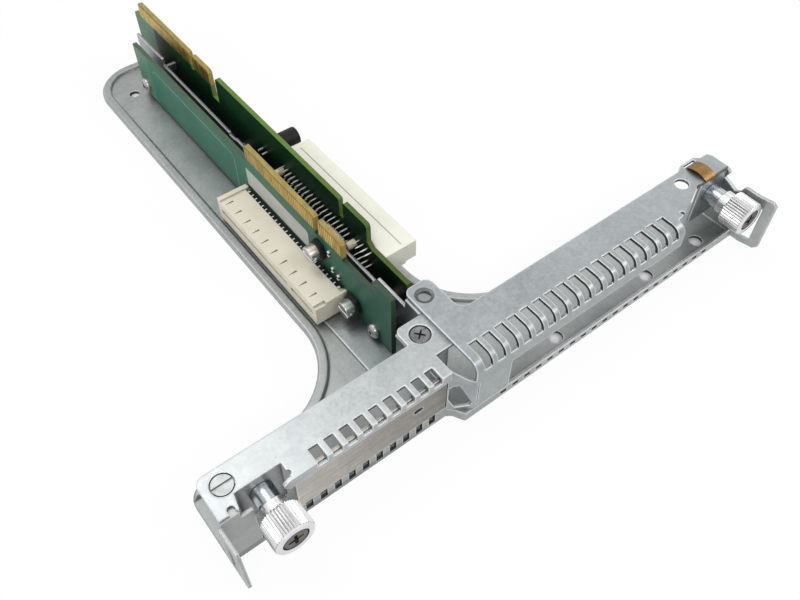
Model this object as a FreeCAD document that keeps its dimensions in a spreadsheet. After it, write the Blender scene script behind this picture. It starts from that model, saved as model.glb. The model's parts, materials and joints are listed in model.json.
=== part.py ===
import FreeCAD, Part
import Sketcher
import os
import re
from FreeCAD import Vector

# Riser card cage of a 1U server, lying on its cover tray with the edge fingers up.
# Millimetres. X runs along the slot bar, Y along the stem, Z up from the table.

os.makedirs("parts", exist_ok=True)
doc = FreeCAD.newDocument("riser_card")
sheet = doc.addObject("Spreadsheet::Sheet", "dims")

# Driving sizes
SIZES = [
    ("sheet_t", 1.0),
    ("stem_left", -20.6), ("stem_right", 17.5), ("stem_far", 192.8), ("stem_corner", 15.6),
    ("bar_left", -72.6), ("bar_right", 111.2), ("bar_back", 19.2), ("bar_corner", 5.0),
    ("neck_radius", 25.0), ("rim_width", 3.3), ("rim_rise", 1.0), ("rim_slope", 0.6),
    ("front_left", -3.2), ("front_right", -7.6), ("lip_left_top", 4.8), ("lip_right_top", 3.4),
    ("joggle_left", -5.6), ("joggle_right", -2.6), ("frame_left", 0.3),
    ("lip_pitch", 4.36), ("lip_gap", 2.1), ("lip_left_start", -50.7),
    ("lip_slot_pitch", 4.47), ("lip_slot", 2.2), ("lip_right_start", 10.4),
    ("floor_hole", 4.4), ("floor_hole_y", -2.8),
    ("stem_hole", 3.6), ("stem_hole_x", -10.0), ("stem_hole_y", 175.8),
    ("left_tab_front", -11.3), ("right_tab_front", -16.6), ("tab_bend", -10.6), ("tab_flare", 1.2),
    ("tab_top", 19.9), ("tab_low", 0.2), ("tab_bar", 3.2), ("tab_sill", 2.1),
    ("left_post", 8.2), ("left_post_top", 18.6),
    ("left_top", 22.4), ("left_back", 9.3), ("left_front", -4.2),
    ("strip_bottom", 18.8), ("window_back", 0.2), ("window_bottom", 20.2),
    ("window_width", 2.7), ("window_pitch", 4.36), ("window_start", -46.05),
    ("notch_x", -67.95), ("notch_r", 0.95), ("notch_y", -1.85),
    ("thumb_z", 16.0), ("thumb_left_x", -59.2), ("thumb_right_x", 104.0), ("thumb_gap", 12.5),
    ("plate_left_y", 1.2), ("plate_right_y", 1.6),
    ("right_back", 9.45), ("right_end", 109.8), ("right_strip_bottom", 15.3),
    ("bend_radius", 3.5), ("slot_back", -0.4), ("slot_bottom", 19.8),
    ("slot_width", 2.75), ("slot_pitch", 4.47), ("slot_start", 2.9), ("slotted_end", 80.0),
    ("post_right", 13.0), ("ear_right", 8.9), ("ear_far", 23.6), ("ear_fillet", 3.3),
    ("ear_hole", 3.6), ("ear_x", 4.2), ("ear_y", 19.1), ("flange_hole_x", 92.4), ("flange_hole_y", 5.2),
    ("flange_overlap", 3.0), ("tab_left", -9.1), ("tab_far", 15.2),
    ("wall_top", 16.6), ("wall_far", 183.4), ("wall_near", 4.0), ("wall_tab_top", 19.3),
    ("foot_left", -14.2), ("foot_far", 97.0),
    ("board_t", 1.6), ("board_offset", 4.0), ("board_bottom", 2.2), ("tip_z", 28.5),
    ("left_board_near", 21.0), ("left_board_far", 175.0), ("left_board_top", 21.6),
    ("near_tab_far", 29.5), ("near_tab_top", 26.1),
    ("right_board_near", 26.5), ("right_board_far", 192.3), ("right_board_top", 22.2),
    ("right_board_step", 20.5), ("right_gap_bottom", 18.4),
    ("key_short", 11.65), ("key_gap", 1.9), ("key_long", 38.65), ("key_wide", 71.65),
    ("left_tongue", 43.74), ("right_tongue", 134.7), ("wide_tongue", 45.1),
    ("finger_w", 0.7), ("finger_t", 0.1), ("finger_len", 4.6),
    ("finger_pitch", 1.0), ("finger_inset", 0.475), ("finger_tip", 0.6),
    ("housing_len", 56.2), ("housing_deep", 11.15), ("housing_wide", 7.5), ("card_slot", 1.8),
    ("left_housing_near", 42.3), ("left_housing_z", 6.25),
    ("right_housing_near", 38.4), ("right_housing_z", 16.5),
    ("peg_r", 1.2), ("peg_near", 13.0), ("peg_inset", 4.1), ("tail_len", 2.4), ("tail_w", 0.5),
    ("can_r", 3.15), ("can_len", 9.4), ("can_clear", 3.45), ("can_z", 17.5),
    ("label_near", 61.5), ("label_len", 35.5), ("label_low", 11.4), ("label_high", 18.5),
    ("screw_r", 1.45), ("cheese_r", 2.65), ("cheese_h", 3.1), ("washer_t", 1.5),
    ("upper_screw_y", 55.3), ("upper_screw_z", 16.9), ("lower_screw_y", 38.3), ("lower_screw_z", 8.1),
    ("dome_r", 2.5), ("dome_h", 1.7), ("dome_near_y", 29.0), ("dome_near_z", 5.0),
    ("dome_far_y", 170.8), ("dome_far_z", 6.4),
    ("flat_head_r", 2.75), ("head_clear", 0.3), ("left_screw_x", -66.5), ("left_screw_y", 4.6),
    ("mid_screw_x", -4.3), ("mid_screw_y", 10.2),
    ("ferrule_r", 3.15), ("ferrule_out", 5.8), ("ferrule_neck_r", 2.5), ("run_fit", 0.1),
    ("shank_r", 1.5), ("collar_r", 3.8), ("knob_r", 5.45), ("knob_gap", 4.9), ("knob_bevel", 0.5),
    ("collar_len", 3.0), ("knurl_len", 7.6), ("knob_bore", 7.0), ("screw_out", 3.3),
    ("ring_r", 2.6), ("groove_r", 1.1), ("ring_t", 0.6),
    ("spring_x", 98.8), ("spring_w", 4.6), ("spring_t", 0.3), ("spring_rise", 1.3),
]
NAMES = [name for name, value in SIZES]
for row, (name, value) in enumerate(SIZES, 1):
    sheet.set("A%d" % row, name)
    sheet.set("B%d" % row, str(value))
    sheet.setAlias("B%d" % row, name)
doc.recompute()

WORD = re.compile(r"\b(" + "|".join(sorted(NAMES, key=len, reverse=True)) + r")\b")
counter = [0]


def bound(text):
    """Expression text with every named size pointed at the sheet."""
    return WORD.sub(lambda found: "dims." + found.group(1), str(text))


def number(text):
    """Present value of an expression made of named sizes."""
    values = dict((name, float(sheet.get(name))) for name in NAMES)
    tokens = re.findall(r"[A-Za-z_]+|\d+\.?\d*|[-+*/()]", str(text))
    return arithmetic([values.get(token, token) for token in tokens])


def arithmetic(tokens):
    """Left-to-right value of a token list with the usual order of operations."""
    tokens = list(tokens)

    def factor():
        token = tokens.pop(0)
        if token == "-":
            return -factor()
        if token == "(":
            inner = total()
            tokens.pop(0)
            return inner
        return float(token)

    def product():
        left = factor()
        while tokens and tokens[0] in ("*", "/"):
            sign = tokens.pop(0)
            right = factor()
            left = left * right if sign == "*" else left / right
        return left

    def total():
        left = product()
        while tokens and tokens[0] in ("+", "-"):
            sign = tokens.pop(0)
            right = product()
            left = left + right if sign == "+" else left - right
        return left

    return total()


def label(stem):
    counter[0] += 1
    return "%s_%d" % (stem, counter[0])


def place(item, spot):
    for axis, text in zip("xyz", spot):
        item.setExpression("Placement.Base." + axis, bound(text))


def box(low, high, name="block"):
    item = doc.addObject("Part::Box", label(name))
    for prop, small, large in zip(("Length", "Width", "Height"), low, high):
        item.setExpression(prop, bound("(%s) - (%s)" % (large, small)))
    place(item, low)
    return item


AXES = {
    "z": FreeCAD.Rotation(),
    "x": FreeCAD.Rotation(Vector(0, 1, 0), 90),
    "y": FreeCAD.Rotation(Vector(1, 0, 0), -90),
}


def rod(spot, radius, length, axis="z", name="rod"):
    """Cylinder from spot along +axis."""
    item = doc.addObject("Part::Cylinder", label(name))
    item.Placement = FreeCAD.Placement(Vector(), AXES[axis])
    item.setExpression("Radius", bound(radius))
    item.setExpression("Height", bound(length))
    place(item, spot)
    return item


def cone(spot, first, last, length, axis="z", name="cone"):
    item = doc.addObject("Part::Cone", label(name))
    item.Placement = FreeCAD.Placement(Vector(), AXES[axis])
    item.setExpression("Radius1", bound(first))
    item.setExpression("Radius2", bound(last))
    item.setExpression("Height", bound(length))
    place(item, spot)
    return item


def fuse(items, name="join"):
    if len(items) == 1:
        return items[0]
    item = doc.addObject("Part::MultiFuse", label(name))
    item.Shapes = items
    item.Refine = True
    return item


def group(items, name="set"):
    item = doc.addObject("Part::Compound", label(name))
    item.Links = items
    return item


def cut(base, tools, name="cut"):
    item = doc.addObject("Part::Cut", label(name))
    item.Base = base
    item.Tool = tools[0] if len(tools) == 1 else group(tools)
    item.Refine = True
    return item


def common(one, two, name="meet"):
    item = doc.addObject("Part::MultiCommon", label(name))
    item.Shapes = [one, two]
    item.Refine = True
    return item


def prism(plane, points, low, high, name="plate"):
    """Polygon given by expression pairs, extruded from low to high along the plane's normal."""
    body = doc.addObject("PartDesign::Body", label(name))
    sketch = body.newObject("Sketcher::SketchObject", label(name + "_sketch"))
    support = [item for item in body.Origin.OriginFeatures if item.Role == plane + "_Plane"]
    sketch.AttachmentSupport = [(support[0], "")]
    sketch.MapMode = "FlatFace"
    if plane == "XZ":
        sketch.setExpression("AttachmentOffset.Base.z", bound("-(%s)" % high))
    else:
        sketch.setExpression("AttachmentOffset.Base.z", bound(low))
    spots = [Vector(number(a), number(b), 0) for a, b in points]
    count = len(spots)
    for index in range(count):
        sketch.addGeometry(Part.LineSegment(spots[index], spots[(index + 1) % count]), False)
    for index in range(count):
        sketch.addConstraint(Sketcher.Constraint("Coincident", index, 2, (index + 1) % count, 1))
    for index, (a, b) in enumerate(points):
        for kind, text, value in (("DistanceX", a, spots[index].x), ("DistanceY", b, spots[index].y)):
            if abs(value) < 1e-9 and str(text) in ("0", "0.0"):
                other = -2 if kind == "DistanceX" else -1
                sketch.addConstraint(Sketcher.Constraint("PointOnObject", index, 1, other))
                continue
            made = sketch.addConstraint(Sketcher.Constraint(kind, -1, 1, index, 1, value))
            sketch.setExpression("Constraints[%d]" % made, bound(text))
    pad = body.newObject("PartDesign::Pad", label(name + "_pad"))
    pad.Profile = sketch
    pad.setExpression("Length", bound("(%s) - (%s)" % (high, low)))
    body.Tip = pad
    sketch.Visibility = False
    return body


def finish(item, name):
    """Gives a finished piece its node name."""
    item.Label = name
    NODES.append(item)
    return item


NODES = []


# Base tray: T-shaped floor, raised rim, front lips, end uprights and pull tabs
def corner_tool(x, y, right, back, radius, low, high):
    """What has to go to round a plate's corner at x, y; right and back say which corner it is."""
    middle_x = "(%s) - (%s)" % (x, radius) if right else "(%s) + (%s)" % (x, radius)
    middle_y = "(%s) - (%s)" % (y, radius) if back else "(%s) + (%s)" % (y, radius)
    out_x = "(%s) + 1" % x if right else "(%s) - 1" % x
    out_y = "(%s) + 1" % y if back else "(%s) - 1" % y
    first_x, last_x = (middle_x, out_x) if right else (out_x, middle_x)
    first_y, last_y = (middle_y, out_y) if back else (out_y, middle_y)
    block = box((first_x, first_y, low), (last_x, last_y, high))
    core = rod((middle_x, middle_y, "(%s) - 1" % low), radius, "(%s) - (%s) + 2" % (high, low))
    return cut(block, [core])


def tee(inset, low, high):
    """The tray's outline drawn in by inset, between two heights."""
    corner = "stem_corner - (%s)" % inset
    tall = "(%s) - (%s)" % (high, low)
    middle = "bar_back - 6"
    turn = "stem_far - stem_corner"
    pieces = [
        box(("stem_left + %s" % inset, middle, low), ("stem_right - %s" % inset, turn, high)),
        box(("stem_left + stem_corner", middle, low),
            ("stem_right - stem_corner", "stem_far - %s" % inset, high)),
        rod(("stem_left + stem_corner", turn, low), corner, tall),
        rod(("stem_right - stem_corner", turn, low), corner, tall),
        box(("bar_left", "front_left", low), ("bar_right", "bar_back - %s" % inset, high)),
    ]
    for edge, sign, other in (("stem_left", "-", "+"), ("stem_right", "+", "-")):
        middle_x = "%s %s neck_radius" % (edge, sign)
        near = "%s %s %s" % (edge, other, inset)
        first, last = (middle_x, near) if sign == "-" else (near, middle_x)
        block = box((first, "bar_back - %s" % inset, low), (last, "bar_back + neck_radius", high))
        bite = rod((middle_x, "bar_back + neck_radius", "(%s) - 1" % low),
                   "neck_radius + %s" % inset, tall + " + 2")
        pieces.append(cut(block, [bite]))
    return fuse(pieces, "tee")


def end_strip(run, face, window, edge):
    """Upright end strip: a bent run seen from above, trimmed to its side outline and window."""
    bent = prism("XY", run, "0", "left_top", "strip_run")
    flat = prism("YZ", face, "%s - 4" % edge, "%s + 4" % edge, "strip_face")
    low, high = window
    hole = box(("%s - 5" % edge,) + low, ("%s + 5" % edge,) + high)
    return cut(common(bent, flat), [hole])


def left_end():
    """Front post at the left end: upright, ear folded back under the flange, straight pull tab."""
    inner = "bar_left + sheet_t"
    level = "left_top - sheet_t"
    run = [(inner, "front_left + sheet_t"), ("bar_left", "front_left + sheet_t"),
           ("bar_left", "left_tab_front"), (inner, "left_tab_front")]
    face = [("front_left + sheet_t", "0"), ("front_left + sheet_t", "left_post_top"),
            ("front_left", "tab_top + 0.4"), ("left_tab_front + 0.6", "tab_top + 0.4"),
            ("left_tab_front", "tab_top - 0.2"), ("left_tab_front", "tab_low + 0.6"),
            ("left_tab_front + 0.6", "tab_low"), ("front_left", "tab_low")]
    window = (("left_tab_front + tab_bar", "tab_low + tab_sill"), ("front_left - 0.8", "tab_top - 4"))
    ear = prism("XY", [
        (inner, "front_left"), ("notch_x + notch_r + 0.3", "front_left"),
        ("notch_x + notch_r + 0.6", "plate_left_y + sheet_t + 0.3"),
        ("left_screw_x + flat_head_r + 1", "plate_left_y + sheet_t + 0.3"),
        ("left_screw_x + flat_head_r + 1", "left_back - 0.6"), (inner + " + 2.6", "left_back - 0.6"),
        (inner + " + 0.4", "left_back - 3")],
        level + " - sheet_t", level, "left_ear")
    post = box(("bar_left", "front_left", "0"),
               ("bar_left + sheet_t + left_post", "front_left + sheet_t", "left_post_top"))
    neck = box((inner, "front_left", "left_post_top - 1"),
               ("notch_x + notch_r + 0.3", "front_left + sheet_t", level))
    return [end_strip(run, face, window, "bar_left"), ear, post, neck]


def right_end():
    """End web at the right: notched top, flared pull tab, ear under the flange."""
    inner = "bar_right - sheet_t"
    back = "left_back - 0.6"
    run = [(inner, back), (inner, "tab_bend"), (inner + " + tab_flare", "right_tab_front"),
           ("bar_right + tab_flare", "right_tab_front"), ("bar_right", "tab_bend"), ("bar_right", back)]
    face = [(back, "0"), (back, "left_top - 0.4"), ("plate_right_y - 0.2", "left_top - 0.4"),
            ("plate_right_y - 0.8", "left_top - 0.9"), ("plate_right_y - 1", "left_top - 1.7"),
            ("plate_right_y - 0.4", "tab_top - 0.4"), ("plate_right_y", "tab_top - 1.3"),
            ("plate_right_y - 2", "tab_top - 2.1"),
            ("front_right + 4.4", "tab_top - 3.4"), ("front_right + 2.8", "tab_top - 2.6"),
            ("front_right + 2", "tab_top - 0.5"), ("front_right + 1.4", "tab_top"),
            ("right_tab_front + 1.2", "tab_top"), ("right_tab_front", "tab_top - 1.2"),
            ("right_tab_front", "tab_low + 1.2"), ("right_tab_front + 1.2", "tab_low"), ("front_right", "0")]
    window = (("right_tab_front + tab_bar", "tab_low + tab_sill"), ("front_right - 0.6", "tab_top - 4"))
    ear = box(("bar_right - 8", "plate_right_y + sheet_t + 0.3", "left_top - sheet_t"),
              ("bar_right - 0.6 * sheet_t", back, "left_top"))
    return [end_strip(run, face, window, "bar_right"), ear]


def base_tray():
    high = "sheet_t + rim_rise"
    ring = cut(tee("0", "sheet_t", high), [tee("rim_width", "sheet_t - 1", high + " + 1")])
    band = box(("bar_left", "bar_back - rim_width", "sheet_t"), ("bar_right", "stem_far + 1", high))
    outer = [("joggle_left", "front_left"), ("joggle_left + 1.5", "front_left - 1.1"),
             ("joggle_right", "front_right + 0.5"), ("joggle_right + 0.5", "front_right")]
    right_floor = prism("XY", outer + [("bar_right", "front_right"), ("bar_right", "front_left + 1"),
                                       ("joggle_left", "front_left + 1")], "0", "sheet_t", "right_floor")
    lip_left = box(("thumb_left_x + thumb_gap / 2", "front_left", "0"),
                   ("joggle_left", "front_left + sheet_t", "lip_left_top"))
    lip_right = prism("XY", outer + [
        ("bar_right", "front_right"), ("bar_right", "front_right + sheet_t"),
        ("joggle_right + 1", "front_right + sheet_t"), ("joggle_left + 2.4", "front_left - 0.2"),
        ("joggle_left", "front_left + sheet_t")], "0", "lip_right_top", "right_lip")
    solid = [tee("0", "0", "sheet_t"), right_floor, common(ring, band), lip_left, lip_right]
    solid += left_end()
    solid += right_end()
    holes = [corner_tool("bar_left", "bar_back", False, True, "bar_corner", "-1", high + " + 1")]
    holes.append(rod(("left_screw_x", "left_screw_y", "left_top - 3 * sheet_t"), "screw_r", "3 * sheet_t"))
    for index in range(10):
        start = "lip_left_start + %d * lip_pitch" % index
        holes.append(box((start, "front_left - 1", "sheet_t + 0.1"),
                         (start + " + lip_gap", "front_left + sheet_t + 0.01", "lip_left_top + 1")))
    for index in range(20):
        start = "lip_right_start + %d * lip_slot_pitch" % index
        holes.append(box((start, "front_right - 1", "lip_right_top - 2.4"),
                         (start + " + lip_slot", "front_right + sheet_t + 0.01", "lip_right_top - 1")))
    for x in ("36.4", "75.0", "98.6"):
        holes.append(rod((x, "floor_hole_y", "-1"), "floor_hole / 2", "sheet_t + 2"))
    holes.append(rod(("stem_hole_x", "stem_hole_y", "-1"), "stem_hole / 2", "sheet_t + 2"))
    return cut(fuse(solid, "tray"), holes, "tray")


def bevel(item, size, chooser, name):
    """Slopes the edges of an item that chooser accepts."""
    doc.recompute()
    edges = []
    for index, edge in enumerate(item.Shape.Edges, 1):
        if chooser(edge):
            edges.append((index, size, size))
    sloped = doc.addObject("Part::Chamfer", label(name))
    sloped.Base = item
    sloped.Edges = edges
    return sloped


def on_rim(edge):
    """Top edges along both sides of the tray's raised rim."""
    level = number("sheet_t + rim_rise")
    bounds = edge.BoundBox
    flat = abs(bounds.ZMin - level) < 1e-4 and abs(bounds.ZMax - level) < 1e-4
    end = bounds.XLength < 1e-4 and bounds.YLength < number("rim_width") + 0.1
    return flat and bounds.YMin > number("bar_back - rim_width") - 0.05 and not end


finish(bevel(base_tray(), number("rim_slope * rim_rise"), on_rim, "tray"), "base_tray")


# Left slot frame: flange with windows over its front bend and a plate for the thumbscrew
def left_slot_frame():
    low = "left_top - sheet_t"
    gap_low = "thumb_left_x - thumb_gap / 2"
    gap_high = "thumb_left_x + thumb_gap / 2"
    end = "bar_left + sheet_t"
    right = "joggle_left + 0.4"
    flange = [
        box((end, "left_front", low), ("flange_overlap", "left_back", "left_top")),
        box(("tab_left", "left_back - 1", low), ("flange_overlap", "tab_far", "left_top")),
        box((gap_high, "left_front", "strip_bottom"), (right, "left_front + sheet_t", "left_top")),
    ]
    holes = [
        prism("XY", [(gap_low, "plate_left_y"), (gap_low + " - 1.5", "left_front - 1"),
                     (gap_high, "left_front - 1"), (gap_high, "plate_left_y")],
              low + " - 1", "left_top + 1", "thumb_gap"),
        box((end + " - 1", "left_front - 1", low + " - 1"), (gap_low, "front_left + 0.4", "left_top + 1")),
        rod((gap_high, "left_front + 2.2", low + " - 1"), "0.8", "sheet_t + 2"),
        box((right, "left_front - 1", "strip_bottom - 1"),
            ("flange_overlap + 1", "left_front + 6.8", "left_top + 1")),
        corner_tool(end, "left_back", False, True, "2.5", low + " - 1", "left_top + 1"),
        corner_tool("tab_left", "tab_far", False, True, "2", low + " - 1", "left_top + 1"),
        rod(("notch_x", "notch_y", low + " - 1"), "notch_r", "sheet_t + 2"),
        box(("notch_x - notch_r", "left_front - 1", low + " - 1"),
            ("notch_x + notch_r", "notch_y", "left_top + 1")),
    ]
    for index in range(9):
        start = "window_start + %d * window_pitch" % index
        holes.append(box((start, "left_front - 1", "window_bottom"),
                         (start + " + window_width", "window_back", "left_top + 1")))
    plate = box((gap_low, "plate_left_y", "thumb_z - 10"), (gap_high, "plate_left_y + sheet_t", "left_top"))
    hook = prism("XZ", [(gap_high + " - 1", "strip_bottom"), (gap_high, "strip_bottom"),
                        (gap_high, "left_top"), (gap_high + " - 0.6", "left_top"),
                        (gap_high + " - 2.4", low), (gap_high + " - 2.4", "strip_bottom + 1.8")],
                 "left_front", "left_front + sheet_t", "strip_hook")
    drills = [
        rod(("thumb_left_x", "plate_left_y - 1", "thumb_z"), "ferrule_neck_r", "sheet_t + 2", "y"),
        rod(("left_screw_x", "left_screw_y", low + " - 1"), "flat_head_r + head_clear", "sheet_t + 2"),
        rod(("mid_screw_x", "mid_screw_y", low + " - 1"), "flat_head_r + head_clear", "sheet_t + 2"),
    ]
    return cut(fuse([cut(fuse(flange), holes), plate, hook]), drills, "left_frame")


finish(left_slot_frame(), "left_slot_frame")


# Right slot frame: one sheet higher, slots over a rounded front bend, ear, post and thumbscrew plate
def gusset():
    """Slanted plate that joins the right frame's post to the left strip, with a kite-shaped hole."""
    slab = prism("XY", [("joggle_left", "front_left"), ("frame_left", "front_right"),
                        ("frame_left", "front_right + sheet_t"), ("joggle_left", "front_left + sheet_t")],
                 "lip_right_top", "left_top", "gusset_slab")
    face = prism("XZ", [("joggle_left", "lip_right_top"), ("frame_left", "lip_right_top"),
                        ("frame_left", "left_top - 5.4"), ("frame_left - 1.3", "left_top - 4.8"),
                        ("joggle_left + 0.6", "left_top - 0.6"), ("joggle_left + 0.6", "strip_bottom - 0.4"),
                        ("joggle_left", "strip_bottom - 0.4")],
                 "front_right - 1", "front_left + 2 * sheet_t", "gusset_face")
    base = "lip_right_top"
    corners = [("joggle_left + 0.3", base + " + 5.2"), ("joggle_left + 0.3", base + " + 9.9"),
               ("joggle_left + 1.1", base + " + 11.4"), ("joggle_left + 2.6", base + " + 11.7"),
               ("frame_left - 0.35", base + " + 3.4"), ("frame_left - 0.9", base + " + 2"),
               ("joggle_left + 1.9", base + " + 1.2")]
    hole = prism("XZ", corners, "front_right - 2", "front_left + 3 * sheet_t", "gusset_hole")
    return cut(common(slab, face), [hole], "gusset")


def right_slot_frame():
    low = "left_top"
    top = "left_top + sheet_t"
    bend_y = "front_right + bend_radius"
    bend_z = "left_top + sheet_t - bend_radius"
    web_x = "ear_right + ear_fillet"
    web_y = "right_back + ear_fillet"
    flange = prism("XY", [
        ("frame_left", bend_y), ("slotted_end", bend_y), ("slotted_end + 3.4", bend_y + " + 0.4"),
        ("thumb_right_x - 8.8", "plate_right_y"), ("right_end", "plate_right_y"),
        ("right_end", "right_back - 1.5"), ("right_end - 0.8", "right_back"),
        ("right_end - 3.8", "right_back"), ("right_end - 5.5", "right_back + 1.4"),
        ("spring_x - 0.3", "right_back + 1.4"), ("spring_x - 1.3", "right_back + 1.1"),
        ("spring_x - 3.1", "right_back"), ("frame_left", "right_back")], low, top, "flange")
    long = "slotted_end - frame_left"
    roll = cut(rod(("frame_left", bend_y, bend_z), "bend_radius", long, "x"),
               [rod(("frame_left - 1", bend_y, bend_z), "bend_radius - sheet_t", long + " + 2", "x")])
    quarter = common(roll, box(("frame_left", "front_right", bend_z), ("slotted_end", bend_y, top)))
    solid = [
        flange,
        quarter,
        box(("frame_left", "front_right", "right_strip_bottom"),
            ("slotted_end", "front_right + sheet_t", bend_z)),
        box(("frame_left", "front_right", "lip_right_top"),
            ("post_right", "front_right + sheet_t", "right_strip_bottom")),
        box(("frame_left", "right_back - 1", low), ("ear_right", "ear_far", top)),
        cut(box(("ear_right", "right_back", low), (web_x, web_y, top)),
            [rod((web_x, web_y, low + " - 1"), "ear_fillet", "sheet_t + 2")]),
        box(("thumb_right_x - thumb_gap / 2", "plate_right_y", "thumb_z - 10"),
            ("right_end", "plate_right_y + sheet_t", top)),
        gusset(),
    ]
    holes = [
        rod(("thumb_right_x", "plate_right_y - 1", "thumb_z"), "ferrule_neck_r", "sheet_t + 2", "y"),
        rod(("ear_x", "ear_y", low + " - 1"), "ear_hole / 2", "sheet_t + 2"),
        cone(("ear_x", "ear_y", low + " + 0.5 * sheet_t"),
             "ear_hole / 2", "ear_hole / 2 + 1.2", "0.5 * sheet_t"),
        corner_tool("frame_left", "ear_far", False, True, "2.5", low + " - 1", top + " + 1"),
        corner_tool("ear_right", "ear_far", True, True, "2.5", low + " - 1", top + " + 1"),
        rod(("flange_hole_x", "flange_hole_y", low + " - 1"), "floor_hole / 2", "sheet_t + 2"),
        box(("spring_x - 0.1", "right_back - 0.5", low + " - 1"),
            ("spring_x + spring_w + 0.2", "right_back + 0.75", top + " + 1")),
        box(("frame_left + 0.9", "front_right - 1", "lip_right_top + 2"),
            ("frame_left + 1.2", "front_right + sheet_t + 0.01", "right_strip_bottom")),
        rod(("slotted_end + 3.1", bend_y + " + 1.1", low + " - 1"), "0.7", "sheet_t + 2"),
    ]
    for index in range(17):
        start = "slot_start + %d * slot_pitch" % index
        holes.append(box((start, "front_right - 1", "slot_bottom"),
                         (start + " + slot_width", "slot_back", top + " + 1")))
    return cut(fuse(solid), holes, "right_frame")


finish(right_slot_frame(), "right_slot_frame")


# Centre wall: upright sheet along the stem, its foot, its folds under the frames, a far tab
def center_wall():
    half = "sheet_t / 2"
    fold = "left_top - sheet_t"
    profile = [
        ("wall_near", "sheet_t"), ("wall_far", "sheet_t"), ("wall_far", "wall_tab_top"),
        ("wall_far - 20", "wall_tab_top"), ("wall_far - 20", "wall_top"),
        ("117", "wall_top"), ("117", "wall_top - 0.8"), ("113", "wall_top - 0.8"), ("113", "wall_top"),
        ("upper_screw_y + 5", "wall_top"), ("upper_screw_y + 4", "upper_screw_z + 3.6"),
        ("upper_screw_y - 4", "upper_screw_z + 3.6"), ("upper_screw_y - 5", "wall_top"),
        ("ear_far + 10.6", "wall_top"), ("ear_far + 10.6", "wall_tab_top"), ("ear_far - 2", "wall_tab_top"),
        ("ear_far - 2", "left_top"), ("tab_far + 0.2", "left_top"),
        ("tab_far + 0.2", fold), ("wall_near", fold)]
    upright = prism("YZ", profile, "-(%s)" % half, half, "upright")
    foot = box(("foot_left", "wall_near", "sheet_t"), (half, "foot_far", "2 * sheet_t"))
    left_fold = cut(box(("tab_left", "wall_near", fold + " - sheet_t"), (half, "tab_far - 0.6", fold)),
                    [rod(("mid_screw_x", "mid_screw_y", fold + " - 2 * sheet_t"), "screw_r", "3 * sheet_t")])
    right_fold = cut(box(("-(%s)" % half, "tab_far + 0.2", fold),
                         ("ear_right - 0.6", "ear_far - 2", "left_top")),
                     [rod(("ear_x", "ear_y", fold + " - 1"), "ear_hole / 2 + 0.3", "sheet_t + 2")])
    stop = box(("-(%s)" % half, "wall_far - 21", "wall_top - 2.6"),
               ("board_offset", "wall_far - 20", "wall_top"))
    return fuse([upright, foot, left_fold, right_fold, stop], "wall")


finish(center_wall(), "center_wall")


# Left slot cover: blank plate between lip and front strip, with one small oblong hole
def left_slot_cover():
    plate = box(("thumb_left_x + thumb_gap / 2 + 0.6", "front_left", "lip_left_top"),
                ("joggle_left - 0.3", "front_left + sheet_t", "strip_bottom + 1.8"))
    x = "joggle_left - 9.6"
    z = "lip_left_top + 7.8"
    holes = [
        box((x + " - 0.7", "front_left - 1", z + " - 0.7"),
            (x + " + 0.7", "front_left + sheet_t + 1", z + " + 0.7")),
        rod((x + " - 0.7", "front_left - 1", z), "0.7", "sheet_t + 2", "y"),
        rod((x + " + 0.7", "front_left - 1", z), "0.7", "sheet_t + 2", "y"),
    ]
    return cut(plate, [fuse(holes)], "cover")


finish(left_slot_cover(), "left_slot_cover")


# Ground spring: thin strip arched over the right end, hooked through a slot and over the front edge
def ground_spring():
    top = "left_top + sheet_t"
    near = "plate_right_y - spring_t"
    far = "right_back - 0.45"
    steps = 10
    under = []
    over = []
    for index in range(1, steps):
        part = index / steps
        lift = 1 - (2 * part - 1) ** 2
        y = "(%s) + %.3f * ((%s) - (%s))" % (near, part, far, near)
        under.append((y, "%s + %.4f * spring_rise + 0.02" % (top, lift)))
        over.append((y, "%s + %.4f * spring_rise + spring_t" % (top, lift)))
    points = [(near, top + " - 2.5"), (near + " + spring_t", top + " - 2.5"),
              (near + " + spring_t", top + " + 0.02")]
    points += under
    points += [(far, top + " + 0.02"), (far, top + " - 2"), (far + " + spring_t", top + " - 2"),
               (far + " + spring_t", top + " + spring_t")]
    points += over[::-1]
    points.append((near, top + " + spring_t"))
    return prism("YZ", points, "spring_x", "spring_x + spring_w", "spring")


finish(ground_spring(), "ground_spring")


# Riser boards: upright green boards with keyed edge tongues
LEFT_FACE = "-(board_offset + board_t)"
SIDES = {"left": (LEFT_FACE, "-board_offset"), "right": ("board_offset", "board_offset + board_t")}
LEFT_SCREWS = [("upper_screw_y", "upper_screw_z"), ("lower_screw_y", "lower_screw_z")]
DOMES = [("dome_near_y", "dome_near_z"), ("dome_far_y", "dome_far_z")]
CAN_Y = "right_housing_near + housing_len + can_clear + can_r"
RIGHT_SCREWS = [("right_board_near + 6.5", "8"), (CAN_Y + " + 14", "8"), ("wall_far - 7.4", "8")]
PEGS = ["peg_near", "housing_len - peg_inset"]


def tongue(start, long, base):
    """Outline of one keyed tongue, from its near base corner to its far one."""
    key = "%s + key_short" % start
    end = "%s + key_short + key_gap + %s" % (start, long)
    return [
        (start, base), (start, "tip_z - 0.8"), (start + " + 0.8", "tip_z"),
        (key + " - 0.5", "tip_z"), (key, "tip_z - 0.5"), (key, base),
        (key + " + key_gap", base), (key + " + key_gap", "tip_z - 0.5"), (key + " + key_gap + 0.5", "tip_z"),
        (end + " - 0.8", "tip_z"), (end, "tip_z - 0.8"), (end, base)]


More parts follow.
